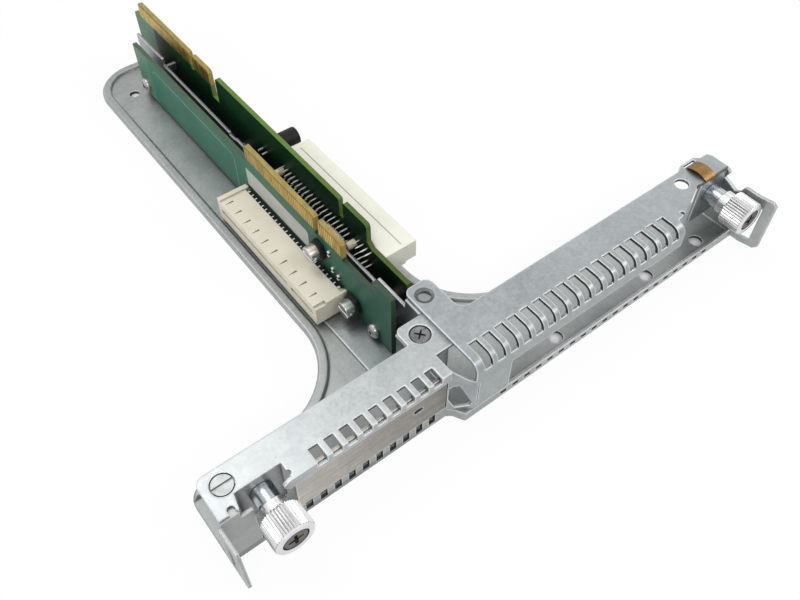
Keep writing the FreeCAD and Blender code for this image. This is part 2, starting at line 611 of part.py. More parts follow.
def drilled(board, side, spots, housing):
    """Board with screw holes and the two peg holes of its connector."""
    low = SIDES[side][0]
    holes = []
    for y, z in spots:
        holes.append(rod((low + " - 1", y, z), "screw_r + 0.3", "board_t + 2", "x"))
    for reach in PEGS:
        spot = (low + " - 1", "%s_housing_near + %s" % (housing, reach), "%s_housing_z" % housing)
        holes.append(rod(spot, "peg_r", "board_t + 2", "x"))
    return cut(board, holes, "board")


outline = [("left_board_near", "near_tab_top"), ("left_board_near", "board_bottom"),
           ("left_board_far", "board_bottom"), ("left_board_far", "left_board_top")]
outline += reversed(tongue("left_tongue", "key_long", "left_board_top"))
outline += [("near_tab_far", "left_board_top"), ("near_tab_far", "near_tab_top")]
plain = prism("YZ", outline, SIDES["left"][0], SIDES["left"][1], "left_board")
finish(drilled(plain, "left", LEFT_SCREWS + DOMES, "left"), "left_riser_board")

outline = [("right_board_near", "right_board_step"), ("right_board_near", "board_bottom"),
           ("right_board_far", "board_bottom"), ("right_board_far", "right_board_top")]
narrow = tongue("right_tongue", "key_long", "right_board_top")
narrow[0] = ("right_tongue", "right_gap_bottom")
wide = tongue("wide_tongue", "key_wide", "right_board_top")
wide[-1] = ("wide_tongue + key_short + key_gap + key_wide", "right_gap_bottom")
wide[0] = ("wide_tongue", "right_board_step + 1.6")
outline += reversed(narrow)
outline += reversed(wide)
outline.append(("wide_tongue - 2", "right_board_step"))
plain = prism("YZ", outline, SIDES["right"][0], SIDES["right"][1], "right_board")
finish(drilled(plain, "right", RIGHT_SCREWS, "right"), "right_riser_board")


# Edge fingers: gold contacts on both faces of each tongue
def edge_fingers(side, start):
    low, high = SIDES[side]
    strips = []
    for first, count in ((start, 11), ("%s + key_short + key_gap" % start, 38)):
        for index in range(count):
            y = "%s + finger_inset + %d * finger_pitch" % (first, index)
            for x in ("%s - finger_t" % low, high):
                strips.append(box((x, y, "tip_z - finger_tip - finger_len"),
                                  (x + " + finger_t", y + " + finger_w", "tip_z - finger_tip")))
    return group(strips, "fingers")


finish(edge_fingers("left", "left_tongue"), "left_edge_fingers")
finish(edge_fingers("right", "right_tongue"), "right_edge_fingers")


# Connectors: cream card-edge housings with locating pegs, and their contacts
def signs(side):
    """Board face the housing stands on, and the direction away from the board."""
    return (LEFT_FACE, "-") if side == "left" else ("board_offset + board_t", "+")


def span(side, first, last):
    """Two distances from the board's face turned into low and high X."""
    face, sign = signs(side)
    ends = ["%s %s (%s)" % (face, sign, reach) for reach in (first, last)]
    return ends if side == "right" else ends[::-1]


def housing(side):
    near = "%s_housing_near" % side
    far = near + " + housing_len"
    middle = "%s_housing_z" % side
    top = middle + " + housing_wide / 2"
    low = middle + " - housing_wide / 2"
    x0, x1 = span(side, "0", "housing_deep")
    body = box((x0, near, low), (x1, far, top))
    cuts = []
    mouth0, mouth1 = span(side, "housing_deep - 8.4", "housing_deep + 1")
    for first, last in ((near + " + 2", near + " + 2 + key_short"),
                        (near + " + 2 + key_short + key_gap", far + " - 2")):
        cuts.append(box((mouth0, first, middle + " - card_slot / 2"),
                        (mouth1, last, middle + " + card_slot / 2")))
    ledge0, ledge1 = span(side, "-1", "1.7")
    ledge = (top + " - 0.8", top + " + 1") if side == "left" else (low + " - 1", low + " + 0.8")
    cuts.append(box((ledge0, near + " + 1", ledge[0]), (ledge1, far + " - 1", ledge[1])))
    step0, step1 = span(side, "housing_deep - 3.8", "housing_deep + 1")
    step = (top + " - 0.8", top + " + 1") if side == "left" else (low + " - 1", low + " + 0.8")
    cuts.append(box((step0, near + " - 1", step[0]), (step1, near + " + 1.2", step[1])))
    wide0, wide1 = span(side, "housing_deep - 3.65", "housing_deep - 0.65")
    wide, tip = (wide1, wide0) if side == "left" else (wide0, wide1)
    line0, line1 = span(side, "6.5", "6.8")
    dent = (top + " - 0.5", top + " + 1") if side == "left" else (low + " - 1", low + " + 0.5")
    line = (low + " - 1", low + " + 0.25") if side == "left" else (top + " - 0.25", top + " + 1")
    for index in range(10):
        y = "%s + 4.8 + %d * (housing_len - 8.7) / 9" % (near, index)
        corners = [(wide, y + " - 0.35"), (tip, y), (wide, y + " + 0.35")]
        cuts.append(prism("XY", corners, dent[0], dent[1], "dent"))
    cuts.append(box((line0, near + " + 1.4", line[0]), (line1, far + " - 2.2", line[1])))
    solid = [cut(body, cuts)]
    ridge0, ridge1 = span(side, "0.5", "housing_deep")
    ridge = (top + " - 0.1", top + " + 0.6") if side == "left" else (low + " - 0.6", low + " + 0.1")
    solid.append(box((ridge0, far + " - 1.7", ridge[0]), (ridge1, far, ridge[1])))
    peg0 = span(side, "-(board_t + 3)", "0")[0]
    for reach in PEGS:
        solid.append(rod((peg0, "%s + %s" % (near, reach), middle), "peg_r", "board_t + 3.2", "x"))
    return fuse(solid, "housing")


def contacts(side):
    """Solder tails standing on the board's back, and contact feet in the housing's ledge."""
    near = "%s_housing_near" % side
    middle = "%s_housing_z" % side
    pitch = "(housing_len - 8.2) / 24"
    tails = []
    x0, x1 = span(side, "-(board_t + tail_len)", "-board_t")
    rows = (("+ 0.42 * housing_wide", 0.0), ("+ 0.26 * housing_wide", 0.5),
            ("- 0.26 * housing_wide", 0.0), ("- 0.42 * housing_wide", 0.5))
    for rise, shift in rows:
        for index in range(24):
            reach = "4.2 + (%d + %.1f) * %s" % (index, shift, pitch)
            if abs(number("%s + tail_w / 2 - peg_near" % reach)) < number("peg_r + 0.6"):
                continue
            y = "%s + %s" % (near, reach)
            z = "%s %s" % (middle, rise)
            tails.append(box((x0, y, z + " - tail_w / 2"), (x1, y + " + tail_w", z + " + tail_w / 2")))
    foot0, foot1 = span(side, "0", "1.5")
    base = middle + (" + housing_wide / 2 - 0.8" if side == "left" else " - housing_wide / 2 + 0.3")
    for index in range(26):
        y = "%s + 2.6 + %d * (housing_len - 6.2) / 25" % (near, index)
        tails.append(box((foot0, y, base), (foot1, y + " + 0.8", base + " + 0.5")))
    return group(tails, "contacts")


for side in ("left", "right"):
    finish(housing(side), side + "_connector_housing")
    finish(contacts(side), side + "_connector_contacts")


# Filter capacitor: black can on its side behind the right board, and its leads
face = "board_offset + board_t"
bung = rod((face, CAN_Y, "can_z"), "can_r - 0.3", "1.2", "x")
can = rod((face + " + 1", CAN_Y, "can_z"), "can_r", "can_len", "x")
finish(fuse([bung, can], "can"), "filter_capacitor")
leads = []
for shift in ("- 1.25", "+ 1.25"):
    leads.append(rod(("board_offset - 1.8", CAN_Y + " " + shift, "can_z"), "0.3", "1.8", "x"))
finish(group(leads, "leads"), "capacitor_leads")

# Board label: thin white sheet on the left board
finish(box((LEFT_FACE + " - finger_t", "label_near", "label_low"),
           (LEFT_FACE, "label_near + label_len", "label_high"), "label"), "board_label")


# Board fasteners: slotted screws on black spacers, dome screws, stand-offs on the wall
def slotted_screw(y, z):
    seat = LEFT_FACE + " - washer_t"
    head = rod((seat + " - cheese_h", y, z), "cheese_r", "cheese_h", "x")
    slot = box((seat + " - cheese_h - 1", y + " - 4", z + " - 0.4"),
               (seat + " - cheese_h + 1.2", y + " + 4", z + " + 0.4"))
    shank = rod((seat, y, z), "screw_r", "washer_t + board_t + board_offset - sheet_t / 2 - 0.3", "x")
    return fuse([cut(head, [slot]), shank])


def hexagon(y, z, across, low, high):
    half = "(%s) / 2" % across
    corner = "(%s) * 0.57735" % across
    return prism("YZ", [
        ("%s + %s" % (y, corner), z), ("%s + %s / 2" % (y, corner), "%s + %s" % (z, half)),
        ("%s - %s / 2" % (y, corner), "%s + %s" % (z, half)), ("%s - %s" % (y, corner), z),
        ("%s - %s / 2" % (y, corner), "%s - %s" % (z, half)),
        ("%s + %s / 2" % (y, corner), "%s - %s" % (z, half))], low, high, "hex")


def stand_off(low, y, z):
    long = "board_offset - sheet_t / 2"
    return cut(hexagon(y, z, "2 * screw_r + 1.8", low, "%s + %s" % (low, long)),
               [rod((low + " - 1", y, z), "screw_r", long + " + 2", "x")])


def dome_screw(y, z):
    rim = LEFT_FACE + " - 0.4 * dome_h"
    head = rod((rim, y, z), "dome_r", "0.4 * dome_h", "x")
    crown = cone((LEFT_FACE + " - dome_h", y, z), "0.5 * dome_r", "dome_r", "0.6 * dome_h", "x")
    shank = rod((LEFT_FACE, y, z), "screw_r", "board_t + board_offset - sheet_t / 2 - 0.3", "x")
    return fuse([crown, head, shank])


def pan_screw(y, z):
    seat = "board_offset + board_t"
    head = rod((seat, y, z), "dome_r", "1.7", "x")
    recess = [box((seat + " + 0.7", y + " - 1.4", z + " - 0.3"), (seat + " + 3", y + " + 1.4", z + " + 0.3")),
              box((seat + " + 0.7", y + " - 0.3", z + " - 1.4"), (seat + " + 3", y + " + 0.3", z + " + 1.4"))]
    shank = rod(("sheet_t / 2 + 0.3", y, z), "screw_r", "board_t + board_offset - sheet_t / 2 - 0.3", "x")
    return fuse([cut(head, recess), shank])


finish(group([slotted_screw(y, z) for y, z in LEFT_SCREWS]), "left_board_screws")
spacers = []
for y, z in LEFT_SCREWS:
    ring = hexagon(y, z, "2 * cheese_r + 1", LEFT_FACE + " - washer_t", LEFT_FACE)
    passage = rod((LEFT_FACE + " - washer_t - 1", y, z), "screw_r + 0.3", "washer_t + 2", "x")
    spacers.append(cut(ring, [passage]))
finish(group(spacers), "board_spacers")
finish(group([dome_screw(y, z) for y, z in DOMES]), "board_end_screws")
finish(group([pan_screw(y, z) for y, z in RIGHT_SCREWS]), "right_board_screws")
posts = [stand_off("-board_offset", y, z) for y, z in LEFT_SCREWS + DOMES]
posts += [stand_off("sheet_t / 2", y, z) for y, z in RIGHT_SCREWS]
finish(group(posts), "board_standoffs")


# Flush flange screws: slotted at the left end, cross recess at the centre tab
def flush_screw(x, y, cross):
    seat = "left_top - sheet_t"
    head = rod((x, y, seat), "flat_head_r", "sheet_t - 0.1")
    wide = "flat_head_r + 1" if not cross else "0.6 * flat_head_r"
    recess = [box((x + " - (%s)" % wide, y + " - 0.4", seat + " + 0.4 * sheet_t"),
                  (x + " + " + wide, y + " + 0.4", seat + " + 2 * sheet_t"))]
    if cross:
        recess.append(box((x + " - 0.4", y + " - (%s)" % wide, seat + " + 0.4 * sheet_t"),
                          (x + " + 0.4", y + " + " + wide, seat + " + 2 * sheet_t")))
    shank = rod((x, y, seat + " - sheet_t - 2"), "screw_r", "sheet_t + 2")
    return fuse([cut(head, recess), shank])


finish(flush_screw("left_screw_x", "left_screw_y", False), "flange_screw_left")
finish(flush_screw("mid_screw_x", "mid_screw_y", True), "flange_screw_center")


# Captive thumbscrews: fixed ferrule, sliding knob with its screw, and the ring that holds it
def ferrule(x, plate):
    solid = [
        rod((x, plate + " - ferrule_out", "thumb_z"), "ferrule_r", "ferrule_out", "y"),
        rod((x, plate, "thumb_z"), "ferrule_neck_r", "sheet_t + 0.2", "y"),
    ]
    return cut(fuse(solid), [rod((x, plate + " - ferrule_out - 1", "thumb_z"), "shank_r + run_fit",
                                 "ferrule_out + sheet_t + 3", "y")])


def knob(x, plate):
    open_end = plate + " - knob_gap"
    face = open_end + " - collar_len - knurl_len"
    solid = [
        cone((x, face, "thumb_z"), "knob_r - knob_bevel", "knob_r", "knob_bevel", "y"),
        rod((x, face + " + knob_bevel", "thumb_z"), "knob_r", "knurl_len - knob_bevel", "y"),
        rod((x, open_end + " - collar_len", "thumb_z"), "collar_r", "collar_len", "y"),
    ]
    holes = [
        rod((x, open_end + " - knob_bore", "thumb_z"), "ferrule_r + run_fit", "knob_bore + 1", "y"),
        rod((x, face + " - 1", "thumb_z"), "shank_r", "knurl_len", "y"),
        rod((x, face + " - 1", "thumb_z"), "ferrule_r + 0.2", "2.2", "y"),
    ]
    return cut(fuse(solid), holes)


def thumb_screw(x, plate):
    face = plate + " - knob_gap - collar_len - knurl_len"
    groove = plate + " + sheet_t + 0.25"
    head = rod((x, face + " + 0.2", "thumb_z"), "ferrule_r - 0.1", "1", "y")
    recess = [
        box((x + " - 1.6", face + " - 1", "thumb_z - 0.4"), (x + " + 1.6", face + " + 0.8", "thumb_z + 0.4")),
        box((x + " - 0.4", face + " - 1", "thumb_z - 1.6"), (x + " + 0.4", face + " + 0.8", "thumb_z + 1.6")),
    ]
    shank = rod((x, face + " + 1.2", "thumb_z"), "shank_r",
                "knob_gap + collar_len + knurl_len - 1.2 + sheet_t + screw_out - 0.5", "y")
    point = cone((x, plate + " + sheet_t + screw_out - 0.5", "thumb_z"),
                 "shank_r", "shank_r - 0.5", "0.5", "y")
    waist = cut(rod((x, groove + " - 0.05", "thumb_z"), "shank_r + 1", "ring_t + 0.1", "y"),
                [rod((x, groove + " - 1", "thumb_z"), "groove_r", "ring_t + 2", "y")])
    return cut(fuse([cut(head, recess), shank, point]), [waist])


def thumb_ring(x, plate):
    y = plate + " + sheet_t + 0.25"
    return cut(rod((x, y, "thumb_z"), "ring_r", "ring_t", "y"),
               [rod((x, y + " - 1", "thumb_z"), "groove_r + 0.05", "ring_t + 2", "y")])


for side in ("left", "right"):
    axis_x = "thumb_%s_x" % side
    plate_y = "plate_%s_y" % side
    finish(ferrule(axis_x, plate_y), side + "_thumb_ferrule")
    finish(knob(axis_x, plate_y), side + "_thumb_knob")
    finish(thumb_screw(axis_x, plate_y), side + "_thumb_screw")
    finish(thumb_ring(axis_x, plate_y), side + "_thumb_ring")

doc.recompute()

# Every piece is checked before it is written
for item in doc.Objects:
    if "Invalid" in item.State or "Error" in item.State:
        raise SystemExit("bad object: %s %s" % (item.Label, item.State))
for item in NODES:
    shape = item.Shape
    if shape.isNull() or not shape.isValid():
        raise SystemExit("bad shape: %s" % item.Label)
    shape.exportStep("parts/%s.step" % item.Label)
    print(item.Label, len(shape.Solids), round(shape.Volume, 1))
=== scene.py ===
import json
import math

import bmesh
import bpy
from mathutils import Matrix, Vector


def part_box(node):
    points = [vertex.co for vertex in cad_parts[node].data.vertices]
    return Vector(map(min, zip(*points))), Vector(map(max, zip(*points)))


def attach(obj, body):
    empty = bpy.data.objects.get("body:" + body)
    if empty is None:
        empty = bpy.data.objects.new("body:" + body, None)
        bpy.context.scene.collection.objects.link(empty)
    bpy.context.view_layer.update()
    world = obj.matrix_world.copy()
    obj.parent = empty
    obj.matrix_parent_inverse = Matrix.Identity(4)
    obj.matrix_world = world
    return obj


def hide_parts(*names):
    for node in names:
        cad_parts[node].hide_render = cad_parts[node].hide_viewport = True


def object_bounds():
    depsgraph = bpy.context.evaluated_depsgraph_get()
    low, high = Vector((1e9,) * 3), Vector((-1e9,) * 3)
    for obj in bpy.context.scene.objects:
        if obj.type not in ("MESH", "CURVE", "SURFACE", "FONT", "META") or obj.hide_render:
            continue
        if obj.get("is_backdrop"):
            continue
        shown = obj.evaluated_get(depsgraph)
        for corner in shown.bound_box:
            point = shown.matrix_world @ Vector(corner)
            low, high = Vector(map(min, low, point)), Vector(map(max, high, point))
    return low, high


# Riser card cage lying on its cover tray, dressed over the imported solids. Metres.
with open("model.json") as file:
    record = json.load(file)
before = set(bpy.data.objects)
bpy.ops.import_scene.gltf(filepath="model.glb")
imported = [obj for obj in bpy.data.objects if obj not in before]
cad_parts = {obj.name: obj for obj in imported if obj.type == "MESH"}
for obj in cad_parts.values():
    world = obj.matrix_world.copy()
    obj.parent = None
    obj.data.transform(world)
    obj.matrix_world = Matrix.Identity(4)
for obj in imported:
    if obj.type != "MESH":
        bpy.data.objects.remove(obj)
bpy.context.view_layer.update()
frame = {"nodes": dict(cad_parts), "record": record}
nodes = frame["nodes"]
MM = 0.001
CAGE = "cage"
SIDES = ("left", "right")


# Camera at the photograph's viewing angle
PICTURE_WIDTH = 800.0
FOCAL_PIXELS = 817.6
SENSOR_WIDTH = 36.0
CAMERA_SPOT = (-0.0847, -0.0860, 0.1947)
CAMERA_RIGHT = (0.7924, -0.6100, -0.0012)
CAMERA_UP = (0.4786, 0.6204, 0.6213)
CAMERA_BACK = (-0.3783, -0.4928, 0.7836)

camera = bpy.data.objects.new("camera", bpy.data.cameras.new("camera"))
camera.data.sensor_width = SENSOR_WIDTH
camera.data.lens = SENSOR_WIDTH * FOCAL_PIXELS / PICTURE_WIDTH
camera.data.clip_start = 0.01
camera.data.clip_end = 20.0
turn = Matrix((CAMERA_RIGHT, CAMERA_UP, CAMERA_BACK)).transposed()
camera.matrix_world = Matrix.Translation(CAMERA_SPOT) @ turn.to_4x4()
bpy.context.scene.collection.objects.link(camera)
bpy.context.scene.camera = camera


# Materials
DEEP_SHADE = (0.02, 0.022, 0.021)
# Colour of the painted edge highlight, which also stands for wear from rubbing
RUBBED_HIGHLIGHT = (0.92, 0.93, 0.93)
# Near black of the cut edges: partly their bare steel, partly painted shade
CUT_EDGE_SHADE = (0.07, 0.07, 0.068)
SHEET_METALLIC = 0.85
METALLIC_LOSS = 0.6
# Width of the painted edge highlight
WEAR_HIGHLIGHT_RADIUS = 0.75 * MM
# How far painted shade reaches into hollows on sheets, plastics and boards
SHEET_SHADE_REACH = 6.0 * MM
PLASTIC_SHADE_REACH = 1.2 * MM
BOARD_SHADE_REACH = 9.0 * MM
# Colour sockets of the Mix node
MIX_ONE, MIX_TWO, MIX_RESULT = 6, 7, 2


class Paint:
    """One procedural material, built node by node round its principled shader."""

    def __init__(self, name, **fixed):
        self.material = bpy.data.materials.new(name)
        self.material.use_nodes = True
        self.tree = self.material.node_tree
        self.shader = self.tree.nodes["Principled BSDF"]
        for key, value in fixed.items():
            self.shader.inputs[key.replace("_", " ")].default_value = value
        self.place = self.add("ShaderNodeTexCoord").outputs["Object"]

    def add(self, kind, sockets=None, **settings):
        """A new node; each socket takes a link or a value."""
        node = self.tree.nodes.new(kind)
        for key, value in settings.items():
            setattr(node, key, value)
        for key, value in (sockets or {}).items():
            if isinstance(value, bpy.types.NodeSocket):
                self.tree.links.new(value, node.inputs[key])
            else:
                node.inputs[key].default_value = value
        return node

    def into(self, key, socket):
        self.tree.links.new(socket, self.shader.inputs[key])

    def stretched(self, x, y, z):
        """The place with each axis scaled, for grain that runs one way."""
        return self.add("ShaderNodeMapping", {"Vector": self.place, "Scale": (x, y, z)}).outputs["Vector"]

    def noise(self, scale, detail, rough, place=None):
        sockets = {"Vector": place or self.place, "Scale": scale, "Detail": detail, "Roughness": rough}
        return self.add("ShaderNodeTexNoise", sockets).outputs["Fac"]

    def cells(self, scale):
        return self.add("ShaderNodeTexVoronoi", {"Vector": self.place, "Scale": scale}).outputs

    def axes(self, vector):
        return self.add("ShaderNodeSeparateXYZ", {"Vector": vector}).outputs

    def facing(self, kind="Normal"):
        return self.add("ShaderNodeNewGeometry").outputs[kind]

    def ramp(self, factor, dark, light, start=0.3, end=0.7):
        """Colour from dark to light as the factor goes from start to end."""
        node = self.add("ShaderNodeValToRGB", {"Fac": factor})
        for point, spot, colour in zip(node.color_ramp.elements, (start, end), (dark, light)):
            point.position = spot
            point.color = (*colour, 1.0)
        return node.outputs["Color"]

    def grey(self, factor, low, high, start=0.3, end=0.7):
        """Number from low to high as the factor goes from start to end."""
        sockets = {"Value": factor, "From Min": start, "From Max": end, "To Min": low, "To Max": high}
        return self.add("ShaderNodeMapRange", sockets).outputs["Result"]

    def mix(self, factor, one, two):
        """Colour between one and two, each a socket or three numbers."""
        sockets = {0: factor}
        for key, colour in ((MIX_ONE, one), (MIX_TWO, two)):
            linked = isinstance(colour, bpy.types.NodeSocket)
            sockets[key] = colour if linked else (*colour, 1.0)
        return self.add("ShaderNodeMix", sockets, data_type="RGBA").outputs[MIX_RESULT]

    def math(self, operation, one, two=0.0):
        return self.add("ShaderNodeMath", {0: one, 1: two}, operation=operation).outputs[0]

    def weighted(self, *pairs):
        """Sum of sockets, each times its share."""
        total = None
        for socket, share in pairs:
            part = self.math("MULTIPLY", socket, share)
            total = self.math("ADD", total, part) if total else part
        return total

    def openness(self, reach, samples=8):
        """From zero in a deep hollow to one on an open face, looking as far as reach."""
        return self.add("ShaderNodeAmbientOcclusion", {"Distance": reach}, samples=samples).outputs["AO"]

    def hollow_shade(self, colour, reach, depth):
        """The colour, darkened by painted shade inside corners and hollows up to reach deep."""
        return self.mix(self.grey(self.openness(reach), depth, 0.0, start=0.15, end=0.95), colour, DEEP_SHADE)

    def rubbed_edge_highlight(self, radius):
        """Rounded normal of the outer edges, and how much of the rounding a point is on, which sets the painted
        edge highlight.
        """
        rounded = self.add("ShaderNodeBevel", {"Radius": radius}, samples=6).outputs["Normal"]
        both = {0: rounded, 1: self.facing()}
        along = self.add("ShaderNodeVectorMath", both, operation="DOT_PRODUCT").outputs["Value"]
        turned = self.grey(along, 1.0, 0.0, start=0.86, end=0.995)
        outer = self.grey(self.openness(1.5 * radius, samples=4), 0.0, 1.0, start=0.5, end=0.75)
        return rounded, self.math("MULTIPLY", turned, outer)

    def inside(self, low, high, soft=0.01):
        """One inside the box between two corners in millimetres, fading sideways over the outer share soft."""
        middle = [(a + b) / 2 * MM for a, b in zip(low, high)]
        half = [(b - a) / 2 * MM for a, b in zip(low, high)]
        away = self.add("ShaderNodeVectorMath", {0: self.place, 1: middle}, operation="SUBTRACT").outputs[0]
        away = self.add("ShaderNodeVectorMath", {0: away, 1: half}, operation="DIVIDE").outputs[0]
        away = self.add("ShaderNodeVectorMath", {0: away}, operation="ABSOLUTE").outputs[0]
        axes = self.axes(away)
        sideways = self.grey(self.math("MAXIMUM", axes["X"], axes["Y"]), 1.0, 0.0, start=1.0 - soft, end=1.0)
        return self.math("MULTIPLY", sideways, self.math("LESS_THAN", axes["Z"], 1.0))

    def bump(self, height, strength, distance, normal=None):
        sockets = {"Height": height, "Strength": strength, "Distance": distance}
        if normal:
            sockets["Normal"] = normal
        self.into("Normal", self.add("ShaderNodeBump", sockets).outputs["Normal"])


def sheet_metal(name, dark, light, rough=(0.32, 0.48), brush=0.0, rub=0.85, hollow=0.45, painted_shade_boxes=(),
                fade=None, bare=None, unhighlighted=None):
    """Galvanised sheet: faint spangle, fine mottling, rolling grain, handling smudges, brushed lines.

    Painted shade darkens the inside corners and hollows, and a painted highlight brightens the open outer edges,
    where it also stands for wear from rubbing.
    Each box entry is the low and high corner of a box of painted shade, the share of the colour that is lost in it
    and, for a soft one, the outer share of the box over which that fades.
    A fade is painted shade along X: the X where the colour starts to drop, the X where it ends and the share lost
    there.
    The faces along X in the box bare are cut edges without zinc, painted near black: partly their bare steel,
    partly painted shade.
    The edges in the last box get no painted highlight.
    """
    paint = Paint(name)
    spangle = paint.add("ShaderNodeSeparateColor", {"Color": paint.cells(420.0)["Color"]}).outputs["Red"]
    smudge = paint.noise(45.0, 4.0, 0.6)
    mottle = paint.noise(900.0, 3.0, 0.65)
    grain = paint.noise(1500.0, 2.0, 0.5, paint.stretched(0.10, 1.0, 1.0))
    blend = paint.weighted((spangle, 0.10), (smudge, 0.45), (mottle, 0.45))
    if brush:
        line = paint.noise(1100.0, 4.0, 0.7, paint.stretched(0.03, 1.0, 1.0))
        blend = paint.math("ADD", blend, paint.math("MULTIPLY", paint.math("SUBTRACT", line, 0.5), brush))
    colour = paint.ramp(blend, dark, light, start=0.32, end=0.68)
    # Painted shade that grows along X
    if fade:
        start, end, loss = fade
        along = paint.axes(paint.place)["X"]
        colour = paint.mix(paint.grey(along, 0.0, loss, start * MM, end * MM), colour, DEEP_SHADE)
    rounded, edge_highlight = paint.rubbed_edge_highlight(WEAR_HIGHLIGHT_RADIUS)
    if unhighlighted:
        edge_highlight = paint.math("MULTIPLY", edge_highlight, paint.math("SUBTRACT", 1.0, paint.inside(*unhighlighted)))
    # Painted shade in inside corners and hollows
    colour = paint.hollow_shade(colour, SHEET_SHADE_REACH, hollow)
    # Painted highlight on the open outer edges, which also stands for wear from rubbing
    colour = paint.mix(paint.math("MULTIPLY", edge_highlight, rub), colour, RUBBED_HIGHLIGHT)
    # Painted shade in the listed boxes
    for low, high, loss, *soft in painted_shade_boxes:
        colour = paint.mix(paint.math("MULTIPLY", paint.inside(low, high, *soft), loss), colour, DEEP_SHADE)
    # Cut edges along X painted near black: partly their bare steel, partly painted shade
    if bare:
        across = paint.math("ABSOLUTE", paint.axes(paint.facing("True Normal"))["X"])
        edge = paint.math("GREATER_THAN", across, 0.8)
        colour = paint.mix(paint.math("MULTIPLY", edge, paint.inside(*bare)), colour, CUT_EDGE_SHADE)
    paint.into("Base Color", colour)
    edge_highlight_metallic = SHEET_METALLIC - METALLIC_LOSS * rub
    paint.into("Metallic", paint.grey(edge_highlight, SHEET_METALLIC, edge_highlight_metallic, start=0.0, end=1.0))
    paint.into("Roughness", paint.grey(paint.weighted((smudge, 0.5), (mottle, 0.5)), *rough))
    paint.bump(paint.math("ADD", grain, mottle), strength=0.15, distance=0.05 * MM, normal=rounded)
    return paint.material


def turned_metal(name, dark, light, rough, scale, metallic=1.0, hollow=0.0):
    """Plated turned metal with fine tool marks and faint stains, with painted shade in hollows up to hollow deep.
    """
    paint = Paint(name, Metallic=metallic)
    stain = paint.noise(scale, 4.0, 0.6)
    marks = paint.noise(3500.0, 2.0, 0.5)
    colour = paint.ramp(stain, dark, light, start=0.25, end=0.7)
    paint.into("Base Color", paint.hollow_shade(colour, hollow, 0.75) if hollow else colour)
    paint.into("Roughness", paint.grey(marks, *rough))
    paint.bump(marks, strength=0.08, distance=0.03 * MM)
    return paint.material


def moulded_plastic(name, dark, light, rough=(0.42, 0.56), gloss=0.5, hollow=0.65):
    """Moulded plastic with a fine eggshell grain and slight shade changes, with painted shade in narrow hollows."""
    paint = Paint(name, Specular_IOR_Level=gloss)
    shade = paint.noise(120.0, 4.0, 0.55)
    skin = paint.noise(2600.0, 2.0, 0.5)
    paint.into("Base Color", paint.hollow_shade(paint.ramp(shade, dark, light), PLASTIC_SHADE_REACH, hollow))
    paint.into("Roughness", paint.grey(skin, *rough))
    paint.bump(skin, strength=0.10, distance=0.04 * MM)
    return paint.material


BOARD_SHADE = (0.001, 0.004, 0.002)
BARE_LAMINATE = (0.085, 0.200, 0.120)
PLATED_FACE = (0.20, 0.165, 0.06)
PLATED_EDGE = (0.24, 0.18, 0.045), (0.38, 0.29, 0.08)
TRACES_PER_METRE = 900.0
NEAR_END = (35.0 * MM, 85.0 * MM)
TONGUE_LEVEL = 22.6 * MM
FINGER_LEVEL = 23.5 * MM


def board_paint(name, mask, trace, rim, bare_from, bare_share, gilt_from, gloss, near_loss):
    """Solder-masked board: buried traces, vias, glass-fibre edges and a far end without copper.

    Beyond bare_from along Y the laminate shows by bare_share, and beyond gilt_from the tongue is plated;
    both are in millimetres.
    The near end is painted darker by near_loss, and so are hollows: painted shade.
    """
    paint = Paint(name, Specular_IOR_Level=gloss)
    spot = paint.axes(paint.place)
    edge = paint.math("LESS_THAN", paint.math("ABSOLUTE", paint.axes(paint.facing())["X"]), 0.6)
    wander = paint.math("MULTIPLY", paint.noise(70.0, 1.0, 0.3), 6.0 * MM)
    lane = paint.math("MULTIPLY", paint.math("ADD", spot["Z"], wander), TRACES_PER_METRE)
    lanes = paint.math("GREATER_THAN", paint.math("FRACT", lane), 0.62)
    routed = paint.math("GREATER_THAN", paint.noise(40.0, 2.0, 0.4), 0.5)
    traces = paint.math("MULTIPLY", lanes, routed)
    vias = paint.math("LESS_THAN", paint.cells(330.0)["Distance"], 0.13)
    haze = paint.noise(30.0, 3.0, 0.5)
    face = paint.mix(traces, mask, trace)
    face = paint.mix(paint.math("MULTIPLY", vias, 0.4), face, [2.0 * c for c in trace])
    face = paint.mix(paint.math("MULTIPLY", haze, 0.2), face, [1.5 * c for c in trace])
    # Painted shade towards the near end, on the faces and the edges, and in the hollows
    near = paint.grey(spot["Y"], near_loss, 0.0, *NEAR_END)
    face = paint.mix(near, face, BOARD_SHADE)
    hollow = paint.grey(paint.openness(BOARD_SHADE_REACH), 0.85, 0.0, start=0.25, end=0.8)
    face = paint.mix(hollow, face, BOARD_SHADE)
    bare = paint.math("GREATER_THAN", spot["Y"], bare_from * MM)
    face = paint.mix(paint.math("MULTIPLY", bare, bare_share), face, BARE_LAMINATE)
    glass = paint.noise(1400.0, 2.0, 0.5, paint.stretched(1.0, 0.2, 1.0))
    side = paint.ramp(glass, [0.75 * c for c in rim], rim)
    side = paint.mix(near, side, [0.2 * c for c in rim])
    beyond = paint.math("GREATER_THAN", spot["Y"], gilt_from * MM)
    gilt = paint.math("MULTIPLY", paint.math("GREATER_THAN", spot["Z"], TONGUE_LEVEL), beyond)
    plated = paint.math("MULTIPLY", paint.math("GREATER_THAN", spot["Z"], FINGER_LEVEL), beyond)
    face = paint.mix(plated, face, PLATED_FACE)
    side = paint.mix(gilt, side, paint.ramp(glass, *PLATED_EDGE))
    paint.into("Base Color", paint.mix(edge, face, side))
    paint.into("Roughness", paint.grey(haze, 0.34, 0.48))
    paint.bump(paint.math("ADD", traces, vias), strength=0.25, distance=0.03 * MM)
    return paint.material


